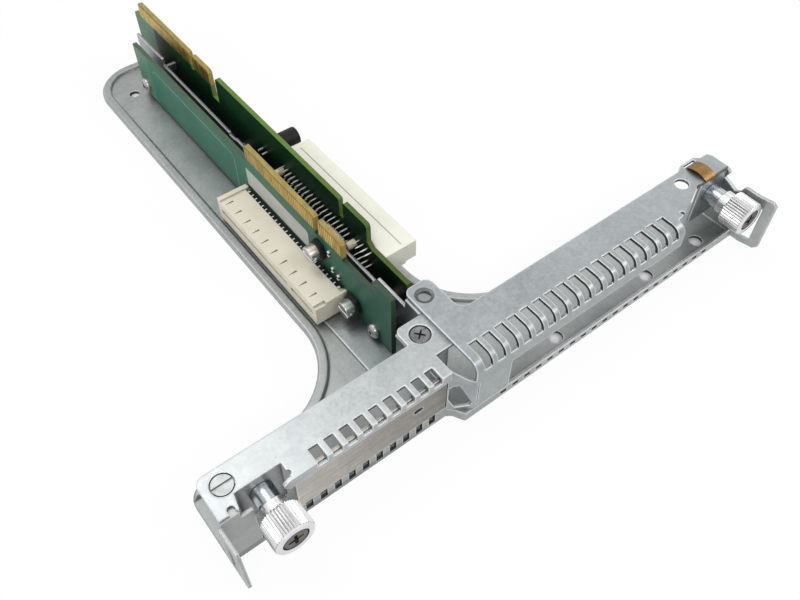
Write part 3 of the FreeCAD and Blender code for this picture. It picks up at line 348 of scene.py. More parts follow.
def gold_plate():
    """Gold contact plating with wipe marks along Z."""
    paint = Paint("gold_plate", Metallic=1.0)
    rub = paint.noise(500.0, 3.0, 0.6, paint.stretched(1.0, 1.0, 0.25))
    paint.into("Base Color", paint.ramp(rub, (0.50, 0.33, 0.075), (0.78, 0.55, 0.16)))
    paint.into("Roughness", paint.grey(rub, 0.25, 0.42))
    paint.bump(rub, strength=0.08, distance=0.02 * MM)
    return paint.material


def silk_ink():
    """Thin, unevenly printed board ink."""
    paint = Paint("silk_ink")
    wear = paint.noise(1500.0, 3.0, 0.6)
    paint.into("Base Color", paint.ramp(wear, (0.20, 0.28, 0.25), (0.36, 0.44, 0.40)))
    paint.into("Roughness", paint.grey(wear, 0.5, 0.65))
    return paint.material


def paper():
    """Matt label paper with a fine fibre."""
    paint = Paint("label_paper")
    fibre = paint.noise(1800.0, 3.0, 0.6)
    tint = paint.noise(90.0, 3.0, 0.5)
    paint.into("Base Color", paint.ramp(tint, (0.40, 0.403, 0.362), (0.50, 0.503, 0.455)))
    paint.into("Roughness", paint.grey(fibre, 0.55, 0.7))
    paint.bump(fibre, strength=0.15, distance=0.03 * MM)
    return paint.material


def hole_wall(x, y, half):
    """Painted-shade entry for the wall of a round hole in the tray's floor."""
    return (x - half, y - half, 0.02), (x + half, y + half, 0.96), 0.85


# Places on the sheets that are painted darker than the rest, as painted shade, as boxes in millimetres
EAR_DIMPLE = (1.2, 16.1, 22.3), (7.2, 22.1, 23.3), 0.7
FLANGE_HOLE = (89.9, 2.7, 22.3), (94.9, 7.7, 23.3), 0.7
NOTCH_FRONT = (95.0, 1.3, 22.2), (109.9, 1.95, 23.6), 0.8
NOTCH_SIDE = (82.5, -4.5, 22.2), (96.0, 2.4, 23.3), 0.5
NOTCH_EDGE = (84.0, -4.6, 22.2), (96.4, 3.0, 24.0)
SLOT_ROW = (2.0, -8.5, 15.0), (80.5, 0.4, 24.0)
LEFT_WING_FLOOR = (-84.0, -8.0, -1.0), (-8.0, 20.5, 2.4), 0.55, 0.55
RIGHT_LIP_SLOTS = (8.0, -7.55, 0.9), (100.0, -5.9, 2.35), 0.9
LEFT_LIP_NOTCHES = (-51.0, -3.15, 0.9), (-9.0, -2.15, 4.75), 0.9
TRAY_HOLES = [hole_wall(36.4, -2.8, 2.4), hole_wall(75.0, -2.8, 2.4), hole_wall(98.6, -2.8, 2.4),
              hole_wall(-10.0, 175.8, 2.0)]
COVER_HOLE = (-17.2, -3.15, 11.5), (-13.2, -1.5, 13.7), 0.85
UNDER_STRIP = (-54.0, -3.4, 17.3), (-5.0, -3.0, 19.0), 0.6

ZINC_TINTS = (0.262, 0.286, 0.294), (0.400, 0.426, 0.428)
ZINC = sheet_metal("zinc_sheet", *ZINC_TINTS)
# A lighter copy of the zinc sheet for the left frame: painted light
LIT_LEFT_ZINC = sheet_metal("lit_left_sheet", (0.312, 0.333, 0.338), (0.472, 0.490, 0.490))
# Right frame: painted shade in the ear dimple, the flange hole and round the front notch; its slot row's cut edges
# painted near black, partly as painted shade; no painted highlight on the notch edge
RIGHT_ZINC = sheet_metal(
    "right_sheet", *ZINC_TINTS, painted_shade_boxes=[EAR_DIMPLE, FLANGE_HOLE, NOTCH_FRONT, NOTCH_SIDE],
    bare=SLOT_ROW, unhighlighted=NOTCH_EDGE)
# Tray: painted shade on the left wing floor under the flange, in the lip slots and notches and on the hole walls,
# and painted shade that grows from X 34 mm down to 6 mm
TRAY_ZINC = sheet_metal(
    "tray_sheet", (0.325, 0.347, 0.342), (0.470, 0.490, 0.483), (0.36, 0.50), rub=0.45, hollow=0.15,
    painted_shade_boxes=[LEFT_WING_FLOOR, RIGHT_LIP_SLOTS, LEFT_LIP_NOTCHES, *TRAY_HOLES], fade=(34.0, 6.0, 0.17))
# Cover: painted shade in its hole and under the left frame's front strip, and painted shade that grows from X -52
# mm to -6 mm
COVER_ZINC = sheet_metal(
    "brushed_sheet", (0.36, 0.338, 0.300), (0.58, 0.550, 0.495), (0.34, 0.50), brush=0.9,
    painted_shade_boxes=[COVER_HOLE, UNDER_STRIP], fade=(-52.0, -6.0, 0.58))
GREEN = board_paint(
    "green_board", (0.015, 0.118, 0.068), (0.022, 0.155, 0.090), (0.055, 0.105, 0.06),
    bare_from=164.0, bare_share=0.6, gilt_from=43.5, gloss=0.3, near_loss=0.45)
# The right board's copy of the board paint, its faces much darker than the left board's: painted shade
SHADED_GREEN = board_paint(
    "shaded_green_board", (0.002, 0.030, 0.008), (0.004, 0.042, 0.012), (0.13, 0.22, 0.045),
    bare_from=177.0, bare_share=0.9, gilt_from=134.0, gloss=0.12, near_loss=0.6)
GOLD = gold_plate()
PAPER = paper()
INK = silk_ink()
CREAM = moulded_plastic("cream_plastic", (0.67, 0.62, 0.50), (0.75, 0.70, 0.58))
PALE_CREAM = moulded_plastic("pale_cream_plastic", (0.71, 0.70, 0.59), (0.78, 0.77, 0.67))
# Lighter than the housings' cream as painted light for the peg tips deep between the boards, and yellower in tone
LIT_PEG_CREAM = moulded_plastic("lit_peg_plastic", (0.80, 0.75, 0.48), (0.88, 0.83, 0.56), (0.40, 0.52), hollow=0.1)
BLACK = moulded_plastic("black_plastic", (0.004, 0.004, 0.004), (0.011, 0.011, 0.011), (0.45, 0.60), gloss=0.22)
TIN = turned_metal("tinned_metal", (0.66, 0.66, 0.64), (0.86, 0.86, 0.84), (0.25, 0.40), 700.0, metallic=0.5)
PIN_TIN = turned_metal("pin_tin", (0.84, 0.84, 0.82), (0.95, 0.95, 0.93), (0.22, 0.32), 700.0, metallic=0.25)
SOLDER = turned_metal("solder", (0.10, 0.10, 0.095), (0.18, 0.18, 0.17), (0.30, 0.45), 900.0)
COPPER = turned_metal("copper_strip", (0.19, 0.11, 0.040), (0.30, 0.18, 0.070), (0.30, 0.45), 250.0)
BRIGHT = turned_metal("bright_knob", (0.64, 0.64, 0.64), (0.79, 0.79, 0.79), (0.22, 0.34), 300.0, hollow=0.7 * MM)
BLUE_ZINC = turned_metal("blue_zinc", (0.35, 0.39, 0.415), (0.50, 0.535, 0.56), (0.18, 0.30), 260.0)
STEEL = turned_metal("screw_steel", (0.36, 0.36, 0.355), (0.52, 0.52, 0.51), (0.24, 0.38), 350.0)
HEAD_STEEL = turned_metal("screw_heads", (0.58, 0.58, 0.575), (0.64, 0.64, 0.635), (0.28, 0.36), 120.0)
FLUSH_STEEL = turned_metal("flush_screw_steel", (0.22, 0.235, 0.23), (0.33, 0.345, 0.34), (0.32, 0.44), 350.0)
TAB_STEEL = turned_metal("tab_screw_steel", (0.115, 0.122, 0.119), (0.235, 0.245, 0.241), (0.36, 0.50), 520.0)
DULL_STEEL = turned_metal("dull_screw_steel", (0.085, 0.078, 0.069), (0.170, 0.156, 0.138), (0.34, 0.48), 350.0)
# Near black for the insides of the screws' cross recesses: painted shade
RECESS_SHADE = turned_metal("screw_recess_shade", (0.012, 0.012, 0.012), (0.035, 0.035, 0.033), (0.45, 0.60), 500.0)

SLOT_PAINT = {
    "zinc_steel": ZINC, "board_green": GREEN, "gold": GOLD, "cream_plastic": CREAM, "tin": TIN,
    "black_plastic": BLACK, "label_white": PAPER, "copper": COPPER, "knob_metal": BRIGHT,
    "blue_zinc": BLUE_ZINC, "screw_steel": STEEL,
}
NODE_PAINT = {
    "base_tray": TRAY_ZINC, "left_slot_frame": LIT_LEFT_ZINC, "right_slot_frame": RIGHT_ZINC,
    "left_slot_cover": COVER_ZINC, "flange_screw_left": FLUSH_STEEL, "left_board_screws": HEAD_STEEL,
    "right_riser_board": SHADED_GREEN, "right_connector_housing": PALE_CREAM,
}


# Dressing of the CAD pieces: a material each, and small rounded edges that catch light
for part in frame["record"]["subparts"]:
    name = part["node"]
    nodes[name].data.materials.clear()
    nodes[name].data.materials.append(NODE_PAINT.get(name) or SLOT_PAINT[part["material_slot"]])

# Bevel widths in millimetres
EDGE_WIDTHS = {
    "base_tray": 0.16, "left_slot_frame": 0.18, "right_slot_frame": 0.18, "center_wall": 0.15,
    "left_slot_cover": 0.15, "left_riser_board": 0.08, "right_riser_board": 0.08,
    "left_connector_housing": 0.18, "right_connector_housing": 0.18, "left_board_screws": 0.25,
    "board_spacers": 0.2, "right_board_screws": 0.25, "flange_screw_left": 0.12,
    "left_thumb_ferrule": 0.2, "right_thumb_ferrule": 0.2,
}
WELD_REACH = 0.002 * MM
FLAT_ANGLE = math.radians(1.5)
EDGE_ANGLE = math.radians(40.0)


def round_edges(name, width):
    piece = nodes[name]
    weld = piece.modifiers.new("weld", "WELD")
    weld.merge_threshold = WELD_REACH
    flat = piece.modifiers.new("flat", "DECIMATE")
    flat.decimate_type = "DISSOLVE"
    flat.angle_limit = FLAT_ANGLE
    edge = piece.modifiers.new("edge", "BEVEL")
    edge.width = width
    edge.segments = 2
    edge.limit_method = "ANGLE"
    edge.angle_limit = EDGE_ANGLE
    edge.harden_normals = True
    piece.modifiers.new("normals", "WEIGHTED_NORMAL")


for name, width in EDGE_WIDTHS.items():
    round_edges(name, width * MM)


# Mesh helpers for the pieces made here
def piece_from(name, builder, paints, body, smooth=35.0):
    """A finished mesh object that rides on a body; builder fills the bmesh."""
    mesh = bpy.data.meshes.new(name)
    work = bmesh.new()
    builder(work)
    bmesh.ops.recalc_face_normals(work, faces=work.faces)
    for face in work.faces:
        face.smooth = True
    work.to_mesh(mesh)
    work.free()
    mesh.set_sharp_from_angle(angle=math.radians(smooth))
    for paint in paints:
        mesh.materials.append(paint)
    piece = bpy.data.objects.new(name, mesh)
    bpy.context.scene.collection.objects.link(piece)
    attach(piece, body)
    return piece


def seat(centre, normal, spin=0.0):
    """Matrix that puts local +Z along normal at centre, turned by spin degrees."""
    lean = Vector(normal).to_track_quat("Z", "Y").to_matrix().to_4x4()
    return Matrix.Translation(centre) @ lean @ Matrix.Rotation(math.radians(spin), 4, "Z")


def sweep_rings(work, rings, close=False):
    """Quads between successive rings of as many vertices each."""
    pairs = list(zip(rings, rings[1:]))
    if close:
        pairs.append((rings[-1], rings[0]))
    for one, two in pairs:
        for index in range(len(one)):
            after = (index + 1) % len(one)
            work.faces.new((one[index], one[after], two[after], two[index]))


def capped_sweep(work, rings):
    """Quads between the rings, and a face on the first and the last ring."""
    sweep_rings(work, rings)
    work.faces.new(rings[0])
    work.faces.new(rings[-1])


def ring_of(work, place, radius, height, count, teeth=(0.0,)):
    """A ring of vertices round local Z; teeth gives one loss of radius per step in turn."""
    ring = []
    for index in range(count):
        angle = 2 * math.pi * index / count
        reach = radius - teeth[index % len(teeth)]
        ring.append(work.verts.new(place @ Vector((reach * math.cos(angle), reach * math.sin(angle), height))))
    return ring


def paint_since(work, first, index):
    """The faces made from the first one on take the piece's material of that index."""
    work.faces.ensure_lookup_table()
    for face in work.faces[first:]:
        face.material_index = index


def path_normals(points):
    """Unit vector square to a flat path at each of its points."""
    normals = []
    for index in range(len(points)):
        before = Vector(points[max(index - 1, 0)])
        after = Vector(points[min(index + 1, len(points) - 1)])
        along = (after - before).normalized()
        normals.append(Vector((-along.y, along.x)))
    return normals


def cross_outline(arm, reach, taper):
    """Twelve corners of a cross-shaped recess."""
    corners = []
    for quarter in range(4):
        spin = Matrix.Rotation(quarter * math.pi / 2, 2)
        for x, y in ((arm, -arm), (reach, -arm * taper), (reach, arm * taper)):
            corners.append(spin @ Vector((x, y)))
    return corners


def screw_head(work, place, rings, arm, reach, depth, count=48):
    """Turned head with a cross recess in its flat top; rings run from the seat up to the top."""
    loops = [ring_of(work, place, radius, height, count) for radius, height in rings]
    sweep_rings(work, loops)
    top = rings[-1][1]
    mouth = [work.verts.new(place @ Vector((p.x, p.y, top))) for p in cross_outline(arm, reach, 0.75)]
    floor = [work.verts.new(place @ Vector((p.x, p.y, top - depth)))
             for p in cross_outline(0.7 * arm, 0.45 * reach, 0.9)]
    rim = [work.edges.get((loops[-1][i], loops[-1][(i + 1) % count])) for i in range(count)]
    rim += [work.edges.new((mouth[i], mouth[(i + 1) % len(mouth)])) for i in range(len(mouth))]
    bmesh.ops.triangle_fill(work, use_beauty=True, edges=rim)
    first = len(work.faces)
    sweep_rings(work, [mouth, floor])
    work.faces.new(floor)
    paint_since(work, first, 1)


# Thumbscrew knobs: collar, straight knurl, bevelled front ring and recessed face
KNURLS = 40
KNURL_DEPTH = 0.42 * MM
TEETH = [0.0, 0.6 * KNURL_DEPTH, KNURL_DEPTH, 0.6 * KNURL_DEPTH]
KNURL_LENGTH = 7.6 * MM
COLLAR_RADIUS = 3.8 * MM
BORE_RADIUS = 3.25 * MM
BORE_DEPTH = 7.0 * MM
SHANK_RADIUS = 1.5 * MM


def knob(side):
    node = side + "_thumb_knob"
    low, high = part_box(node)
    radius = (high.x - low.x) / 2
    long = high.y - low.y
    place = seat(((low.x + high.x) / 2, low.y, (low.z + high.z) / 2), (0, 1, 0))
    outline = [
        (SHANK_RADIUS, 1.2 * MM), (3.45 * MM, 1.2 * MM), (3.55 * MM, 1.05 * MM), (3.55 * MM, 0.2 * MM),
        (3.75 * MM, 0.0), (radius - 0.75 * MM, 0.0), (radius - 0.45 * MM, 0.12 * MM),
        (radius - 0.18 * MM, 0.45 * MM), (radius, 0.75 * MM, TEETH), (radius, KNURL_LENGTH - 0.45 * MM, TEETH),
        (radius - 0.4 * MM, KNURL_LENGTH - 0.1 * MM), (radius - 0.6 * MM, KNURL_LENGTH),
        (COLLAR_RADIUS + 0.1 * MM, KNURL_LENGTH), (COLLAR_RADIUS, KNURL_LENGTH + 0.1 * MM),
        (COLLAR_RADIUS, long - 0.3 * MM), (COLLAR_RADIUS - 0.12 * MM, long - 0.08 * MM),
        (COLLAR_RADIUS - 0.3 * MM, long), (BORE_RADIUS, long), (BORE_RADIUS, long - BORE_DEPTH),
        (SHANK_RADIUS, long - BORE_DEPTH),
    ]

    def build(work):
        count = len(TEETH) * KNURLS
        rings = [ring_of(work, place, reach, height, count, *teeth) for reach, height, *teeth in outline]
        sweep_rings(work, rings, close=True)

    piece = piece_from(side + "_knurled_knob", build, [BRIGHT], side + "_thumb", smooth=24.0)
    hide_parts(node)


# Thumbscrews: recessed cross head, plain shank, ring groove and a cut thread at the point
HEAD_TALL = 1.0 * MM
HEAD_EDGE = 0.15 * MM
HEAD_SPARE = 0.25 * MM
GROOVE_RADIUS = 1.1 * MM
GROOVE_GAP = 0.04 * MM
POINT_RADIUS = 0.95 * MM
THREAD_PITCH = 0.5 * MM
THREAD_CORE = 1.22 * MM
THREAD_ROOT = THREAD_CORE - 0.05 * MM
THREAD_STEPS = 24
THREAD_RUN_OUT = 8


def thumb_screw(side):
    node = side + "_thumb_screw"
    low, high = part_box(node)
    ring_low, ring_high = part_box(side + "_thumb_ring")
    middle = (low.x + high.x) / 2
    level = (low.z + high.z) / 2
    head_radius = (high.x - low.x) / 2 + HEAD_SPARE
    place = seat((middle, low.y, level), (0, -1, 0))
    groove = (ring_low.y + ring_high.y) / 2 - low.y
    half = (ring_high.y - ring_low.y) / 2 + GROOVE_GAP
    start = ring_high.y + 0.05 * MM - low.y
    end = high.y - low.y

    def thread(work):
        steps = int((end - start - 0.5 * MM) / THREAD_PITCH * THREAD_STEPS)
        last = None
        for index in range(steps + 1):
            angle = 2 * math.pi * index / THREAD_STEPS
            rise = -start - 0.1 * MM - THREAD_PITCH * index / THREAD_STEPS
            share = min(1.0, index / THREAD_RUN_OUT, (steps - index) / THREAD_RUN_OUT)
            crest = THREAD_CORE + (SHANK_RADIUS - THREAD_CORE) * share
            row = []
            for reach, shift in ((THREAD_ROOT, 0.22), (crest, 0.06), (crest, -0.06), (THREAD_ROOT, -0.22)):
                spot = (reach * math.cos(angle), reach * math.sin(angle), rise + shift * MM)
                row.append(work.verts.new(place @ Vector(spot)))
            if last:
                for one in range(len(row) - 1):
                    work.faces.new((last[one], last[one + 1], row[one + 1], row[one]))
            last = row

    def build(work):
        head = [(SHANK_RADIUS, -HEAD_TALL), (head_radius, -HEAD_TALL), (head_radius, -HEAD_EDGE),
                (head_radius - HEAD_EDGE, 0.0)]
        screw_head(work, place, head, arm=0.52 * MM, reach=2.1 * MM, depth=0.8 * MM)
        shank = [(SHANK_RADIUS, -HEAD_TALL), (SHANK_RADIUS, -(groove - half)), (GROOVE_RADIUS, -(groove - half)),
                 (GROOVE_RADIUS, -(groove + half)), (SHANK_RADIUS, -(groove + half)), (SHANK_RADIUS, -start),
                 (THREAD_CORE, -start - 0.2 * MM), (THREAD_CORE, -end + 0.4 * MM), (POINT_RADIUS, -end)]
        rings = [ring_of(work, place, reach, height, 48) for reach, height in shank]
        sweep_rings(work, rings)
        work.faces.new(rings[-1])
        thread(work)

    piece = piece_from(side + "_cross_screw", build, [DULL_STEEL, RECESS_SHADE], side + "_thumb")
    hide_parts(node)


for side in SIDES:
    knob(side)
    thumb_screw(side)


# Domed screws at the ends of the left board, and the flush cross screw of the centre tab
DOME_RADIUS = 2.5 * MM
DOME_SIDE = 0.3
DOME_STEPS = 6
DOME_TOP_ANGLE = math.radians(72.0)
TAB_SHANK_RADIUS = 1.45 * MM
TAB_HEAD_TALL = 0.9 * MM
TAB_HEAD_EDGE = 0.2 * MM


def dome_screws():
    low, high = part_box("board_end_screws")
    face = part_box("left_riser_board")[0].x
    tall = face - low.x
    near = (low.y + DOME_RADIUS, low.z + DOME_RADIUS)
    far = (high.y - DOME_RADIUS, high.z - DOME_RADIUS)
    rings = [(1.0 * MM, -0.4 * MM), (DOME_RADIUS, 0.0), (DOME_RADIUS, DOME_SIDE * tall)]
    for step in range(1, DOME_STEPS + 1):
        angle = DOME_TOP_ANGLE * step / DOME_STEPS
        rise = math.sin(angle) / math.sin(DOME_TOP_ANGLE)
        rings.append((DOME_RADIUS * math.cos(angle), tall * (DOME_SIDE + (1.0 - DOME_SIDE) * rise)))

    def build(work):
        for (y, z), spin in ((near, 22.0), (far, 50.0)):
            place = seat((face, y, z), (-1, 0, 0), spin)
            screw_head(work, place, rings, arm=0.28 * MM, reach=0.66 * MM, depth=0.6 * MM)

    piece = piece_from("domed_screws", build, [STEEL, RECESS_SHADE], CAGE)
    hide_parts("board_end_screws")


def centre_screw():
    low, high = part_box("flange_screw_center")
    middle = ((low.x + high.x) / 2, (low.y + high.y) / 2, high.z)
    radius = (high.x - low.x) / 2

    def build(work):
        rings = [(TAB_SHANK_RADIUS, low.z - high.z), (TAB_SHANK_RADIUS, -TAB_HEAD_TALL), (radius, -TAB_HEAD_TALL),
                 (radius, -TAB_HEAD_EDGE), (radius - TAB_HEAD_EDGE, 0.0)]
        place = seat(middle, (0, 0, 1), spin=40.0)
        screw_head(work, place, rings, arm=0.28 * MM, reach=1.6 * MM, depth=0.6 * MM)

    piece = piece_from("centre_cross_screw", build, [TAB_STEEL, RECESS_SHADE], CAGE)
    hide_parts("flange_screw_center")


dome_screws()
centre_screw()


# Copper strip over the right end of the flange
STRIP_THICK = 0.3 * MM
STRIP_RISE = 1.05 * MM
STRIP_STEPS = 24
STRIP_GAP = 0.02 * MM
STRIP_ROOT = 0.5 * MM
STRIP_INSET = 0.02
# Depth of the bends at its back and front, and of its front end, under the foot of the arch
STRIP_BACK = 0.35 * MM
STRIP_FRONT = 0.2 * MM
STRIP_TAIL = 0.55 * MM


def ground_strip():
    """Sprung copper strip: up through its slot, arched over the flange and turned down at the front edge."""
    low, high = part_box("ground_spring")
    half = STRIP_THICK / 2
    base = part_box("right_slot_frame")[1].z + half + STRIP_GAP
    near, far = low.y + half, high.y - half
    line = [(far, low.z + STRIP_ROOT), (far, base - STRIP_BACK)]
    for step in range(STRIP_STEPS + 1):
        part = step / STRIP_STEPS
        rise = STRIP_RISE * (1 - (2 * part - 1) ** 2)
        run = STRIP_INSET + (1 - 2 * STRIP_INSET) * part
        line.append((far + (near - far) * run, base + rise))
    line += [(near, base - STRIP_FRONT), (near, base - STRIP_TAIL)]

    def build(work):
        rings = []
        for spot, normal in zip(line, path_normals(line)):
            one, two = Vector(spot) + half * normal, Vector(spot) - half * normal
            rings.append([work.verts.new((x, p.x, p.y))
                          for x, p in ((low.x, one), (high.x, one), (high.x, two), (low.x, two))])
        capped_sweep(work, rings)

    piece = piece_from("ground_strip", build, [COPPER], CAGE, smooth=40.0)
    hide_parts("ground_spring")


ground_strip()


# Connectors: pins and feet, solder joints, black combs of painted shade between the feet, contact springs, locating
# pegs
OUTWARD = {"left": -1, "right": 1}
# Height of the middle of each card slot
HOUSING_LEVEL = {"left": 6.25 * MM, "right": 16.5 * MM}
TAIL_REACH = 2.0 * MM
PIN_TURN = Matrix.Rotation(math.radians(45.0), 4, "Z")
# Radius in millimetres, and the height: in millimetres for the solder, as a share of its length for the pin
SOLDER_CONE = ((0.36, 0.0), (0.28, 0.08), (0.21, 0.22), (0.17, 0.36))
PIN_PROFILE = ((0.18, 0.0), (0.18, 0.72), (0.09, 1.0))
FOOT_TAPER = 0.06 * MM
COMB_TAPER = 0.1 * MM
# How far a tooth of the comb goes past the feet beside it, and the bar past the row of feet
TOOTH_LOW = Vector((0.05, -0.22, -0.06)) * MM
TOOTH_HIGH = Vector((-0.02, 0.22, 0.08)) * MM
BAR_LOW = Vector((0.0, -0.4, -0.07)) * MM
BAR_HIGH = Vector((0.0, 0.4, 0.1)) * MM
BAR_INNER = 0.55
# Bow: depth in the slot and distance from its middle, in millimetres. Rows: start and number of springs.
SPRING_BOW = ((8.2, 0.86), (6.0, 0.70), (3.6, 0.34), (2.6, 0.36), (1.3, 0.80))
SPRING_ROWS = ((2.6 * MM, 11), (16.2 * MM, 37))
SPRING_PITCH = 1.0 * MM
SPRING_WIDTH = 0.5 * MM
SPRING_THICK = 0.13 * MM
PEG_RADIUS = 1.24 * MM
PEG_REACHES = (13.0 * MM, 52.1 * MM)
# Share of the peg's radius and of its length
PEG_TIP = ((1.0, 0.0), (1.0, 0.7), (0.93, 0.85), (0.78, 0.95), (0.55, 1.0))
PEG_PROUD = 0.06 * MM


def solids_of(name):
    """Low and high corner of every separate solid in a CAD node."""
    mesh = nodes[name].data
    spots = {}
    index_of = []
    for vertex in mesh.vertices:
        key = tuple(round(c * 1e7) for c in vertex.co)
        index_of.append(spots.setdefault(key, len(spots)))
    parent = list(range(len(spots)))

    def root(item):
        while parent[item] != item:
            parent[item] = parent[parent[item]]
            item = parent[item]
        return item

    for face in mesh.polygons:
        first = root(index_of[face.vertices[0]])
        for vertex in face.vertices[1:]:
            parent[root(index_of[vertex])] = first
    boxes = {}
    for vertex, item in zip(mesh.vertices, index_of):
        low, high = boxes.setdefault(root(item), (vertex.co.copy(), vertex.co.copy()))
        for axis in range(3):
            low[axis] = min(low[axis], vertex.co[axis])
            high[axis] = max(high[axis], vertex.co[axis])
    return sorted(boxes.values(), key=lambda pair: tuple(pair[0]))


def inner_face(side):
    """X of the board's face that looks at the centre wall."""
    low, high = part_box(side + "_riser_board")
    return high.x if side == "left" else low.x


def tapered_block(work, low, high, inset):
    """Block whose top is drawn in on all four sides."""
    rings = []
    for level, pull in ((low.z, 0.0), (high.z - inset, 0.0), (high.z, inset)):
        corners = [(low.x + pull, low.y + pull), (high.x - pull, low.y + pull),
                   (high.x - pull, high.y - pull), (low.x + pull, high.y - pull)]
        rings.append([work.verts.new((x, y, level)) for x, y in corners])
    capped_sweep(work, rings)


def connector_work(side):
    """Pins and feet, solder cones round the pins, and a black comb between the feet that stands for the shade
    there: painted shade.
    """
    tails = []
    feet = []
    for low, high in solids_of(side + "_connector_contacts"):
        (tails if high.x - low.x > TAIL_REACH else feet).append((low, high))
    face = inner_face(side)

    def pin_seat(low, high):
        return seat((face, (low.y + high.y) / 2, (low.z + high.z) / 2), (-OUTWARD[side], 0, 0))

    def contacts(work):
        for low, high in tails:
            place = pin_seat(low, high) @ PIN_TURN
            rings = [ring_of(work, place, radius * MM, height * (high.x - low.x), 4)
                     for radius, height in PIN_PROFILE]
            capped_sweep(work, rings)
        for low, high in feet:
            tapered_block(work, low, high, FOOT_TAPER)

    def joints(work):
        for low, high in tails:
            place = pin_seat(low, high)
            rings = [ring_of(work, place, radius * MM, height * MM, 10) for radius, height in SOLDER_CONE]
            sweep_rings(work, rings)
            work.faces.new(rings[-1])

    def comb(work):
        row = sorted(feet, key=lambda pair: pair[0].y)
        for (low, high), (after, _) in zip(row, row[1:]):
            start = Vector((low.x, high.y, low.z)) + TOOTH_LOW
            end = Vector((high.x, after.y, high.z)) + TOOTH_HIGH
            tapered_block(work, start, end, COMB_TAPER)
        first, last = row[0][0], row[-1][1]
        inner = BAR_INNER * (last.x - first.x)
        bar_low = first + BAR_LOW
        bar_high = last + BAR_HIGH
        if side == "left":
            bar_low.x += inner
        else:
            bar_high.x -= inner
        tapered_block(work, bar_low, bar_high, COMB_TAPER)

    piece = piece_from(side + "_pins_and_feet", contacts, [PIN_TIN], CAGE, smooth=20.0)
    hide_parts(side + "_connector_contacts")
    piece_from(side + "_solder_joints", joints, [SOLDER], CAGE, smooth=60.0)
    piece_from(side + "_shade_comb", comb, [BLACK], CAGE, smooth=20.0)


def mouth_springs(side):
    """Two rows of bowed contact springs inside the card slot of a connector."""
    low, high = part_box(side + "_connector_housing")
    mouth = high.x if side == "right" else low.x
    level = HOUSING_LEVEL[side]

    def spring(work, y, way):
        rings = []
        for depth, rise in SPRING_BOW:
            x = mouth - OUTWARD[side] * depth * MM
            near = level + way * rise * MM
            far = level + way * (rise * MM + SPRING_THICK)
            rings.append([work.verts.new((x, across, z)) for across, z in (
                (y, near), (y + SPRING_WIDTH, near), (y + SPRING_WIDTH, far), (y, far))])
        capped_sweep(work, rings)

    def build(work):
        for start, count in SPRING_ROWS:
            for index in range(count):
                for way in (1, -1):
                    spring(work, low.y + start + index * SPRING_PITCH, way)

    piece_from(side + "_mouth_springs", build, [GOLD], CAGE, smooth=30.0)


def peg_tips(side):
    """Rounded ends of the two locating pegs that stand through the board."""
    low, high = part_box(side + "_connector_housing")
    face = inner_face(side)
    long = abs((high.x if side == "left" else low.x) - face)

    def build(work):
        for reach in PEG_REACHES:
            place = seat((face, low.y + reach, HOUSING_LEVEL[side]), (-OUTWARD[side], 0, 0))
            rings = [ring_of(work, place, PEG_RADIUS * wide, long * tall + PEG_PROUD, 24) for wide, tall in PEG_TIP]
            sweep_rings(work, rings)
            work.faces.new(rings[-1])

    piece_from(side + "_peg_tips", build, [LIT_PEG_CREAM], CAGE, smooth=40.0)


for fit in (connector_work, mouth_springs, peg_tips):
    for side in SIDES:
        fit(side)


# Left board's outer face: chip parts, drawn line and label; and the can behind the right board
# Chip parts, line and label corners are in millimetres
CHIP_SPOTS = [(50.3, 19.2), (48.9, 13.4), (46.1, 12.6)]
CHIP_HALF_WIDTH = 0.42
CHIP_BEVEL = 0.08
# Shift along the chip, half length, height and material of its two ends and its body
CHIP_PARTS = ((-0.62, 0.24, 0.62, 1), (0.0, 0.42, 0.55, 0), (0.62, 0.24, 0.62, 1))
DRAWN_LINE = ((161.6, 16.4), (160.4, 18.1), (106.2, 18.1), (104.7, 16.6), (104.7, 3.6))
LINE_WIDTH = 0.28 * MM
LINE_THICK = 0.02 * MM
LABEL_RADII = (1.9, 0.3, 0.3, 1.2)
CORNER_STEPS = 6
# Share of the can's radius and of its length
CAN_PROFILE = ((0.9, 0.0), (0.9, 0.10), (1.0, 0.12), (1.0, 0.20), (0.93, 0.23), (0.93, 0.26), (1.0, 0.29),
               (1.0, 0.96), (0.97, 0.99), (0.92, 1.0), (0.86, 1.0), (0.82, 0.985))


def chip_parts():
    """Small chip capacitors on the outer face of the left board, dark with tinned ends."""
    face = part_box("left_riser_board")[0].x

    def build(work):
        for y, z in CHIP_SPOTS:
            for shift, half, tall, paint in CHIP_PARTS:
                first = len(work.faces)
                rings = []
                for level, pull in ((0.0, 0.0), (tall - CHIP_BEVEL, 0.0), (tall, CHIP_BEVEL)):
                    wide = CHIP_HALF_WIDTH - pull
                    long = half - pull
                    corners = ((-wide, -long), (wide, -long), (wide, long), (-wide, long))
                    rings.append([work.verts.new((face - level * MM, (y + dy) * MM, (z + shift + dz) * MM))
                                  for dy, dz in corners])
                capped_sweep(work, rings)
                paint_since(work, first, paint)

    piece_from("chip_capacitors", build, [BLACK, PIN_TIN], CAGE, smooth=20.0)


def board_drawing():
    """Raised ink line on the outer face of the left board."""
    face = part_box("left_riser_board")[0].x
    points = [(y * MM, z * MM) for y, z in DRAWN_LINE]

    def build(work):
        rings = []
        for spot, normal in zip(points, path_normals(points)):
            sides = [Vector(spot) + way * LINE_WIDTH / 2 * normal for way in (1, -1, -1, 1)]
            levels = (face, face, face - LINE_THICK, face - LINE_THICK)
            rings.append([work.verts.new((x, p.x, p.y)) for x, p in zip(levels, sides)])
        capped_sweep(work, rings)

    piece_from("board_outline", build, [INK], CAGE, smooth=20.0)


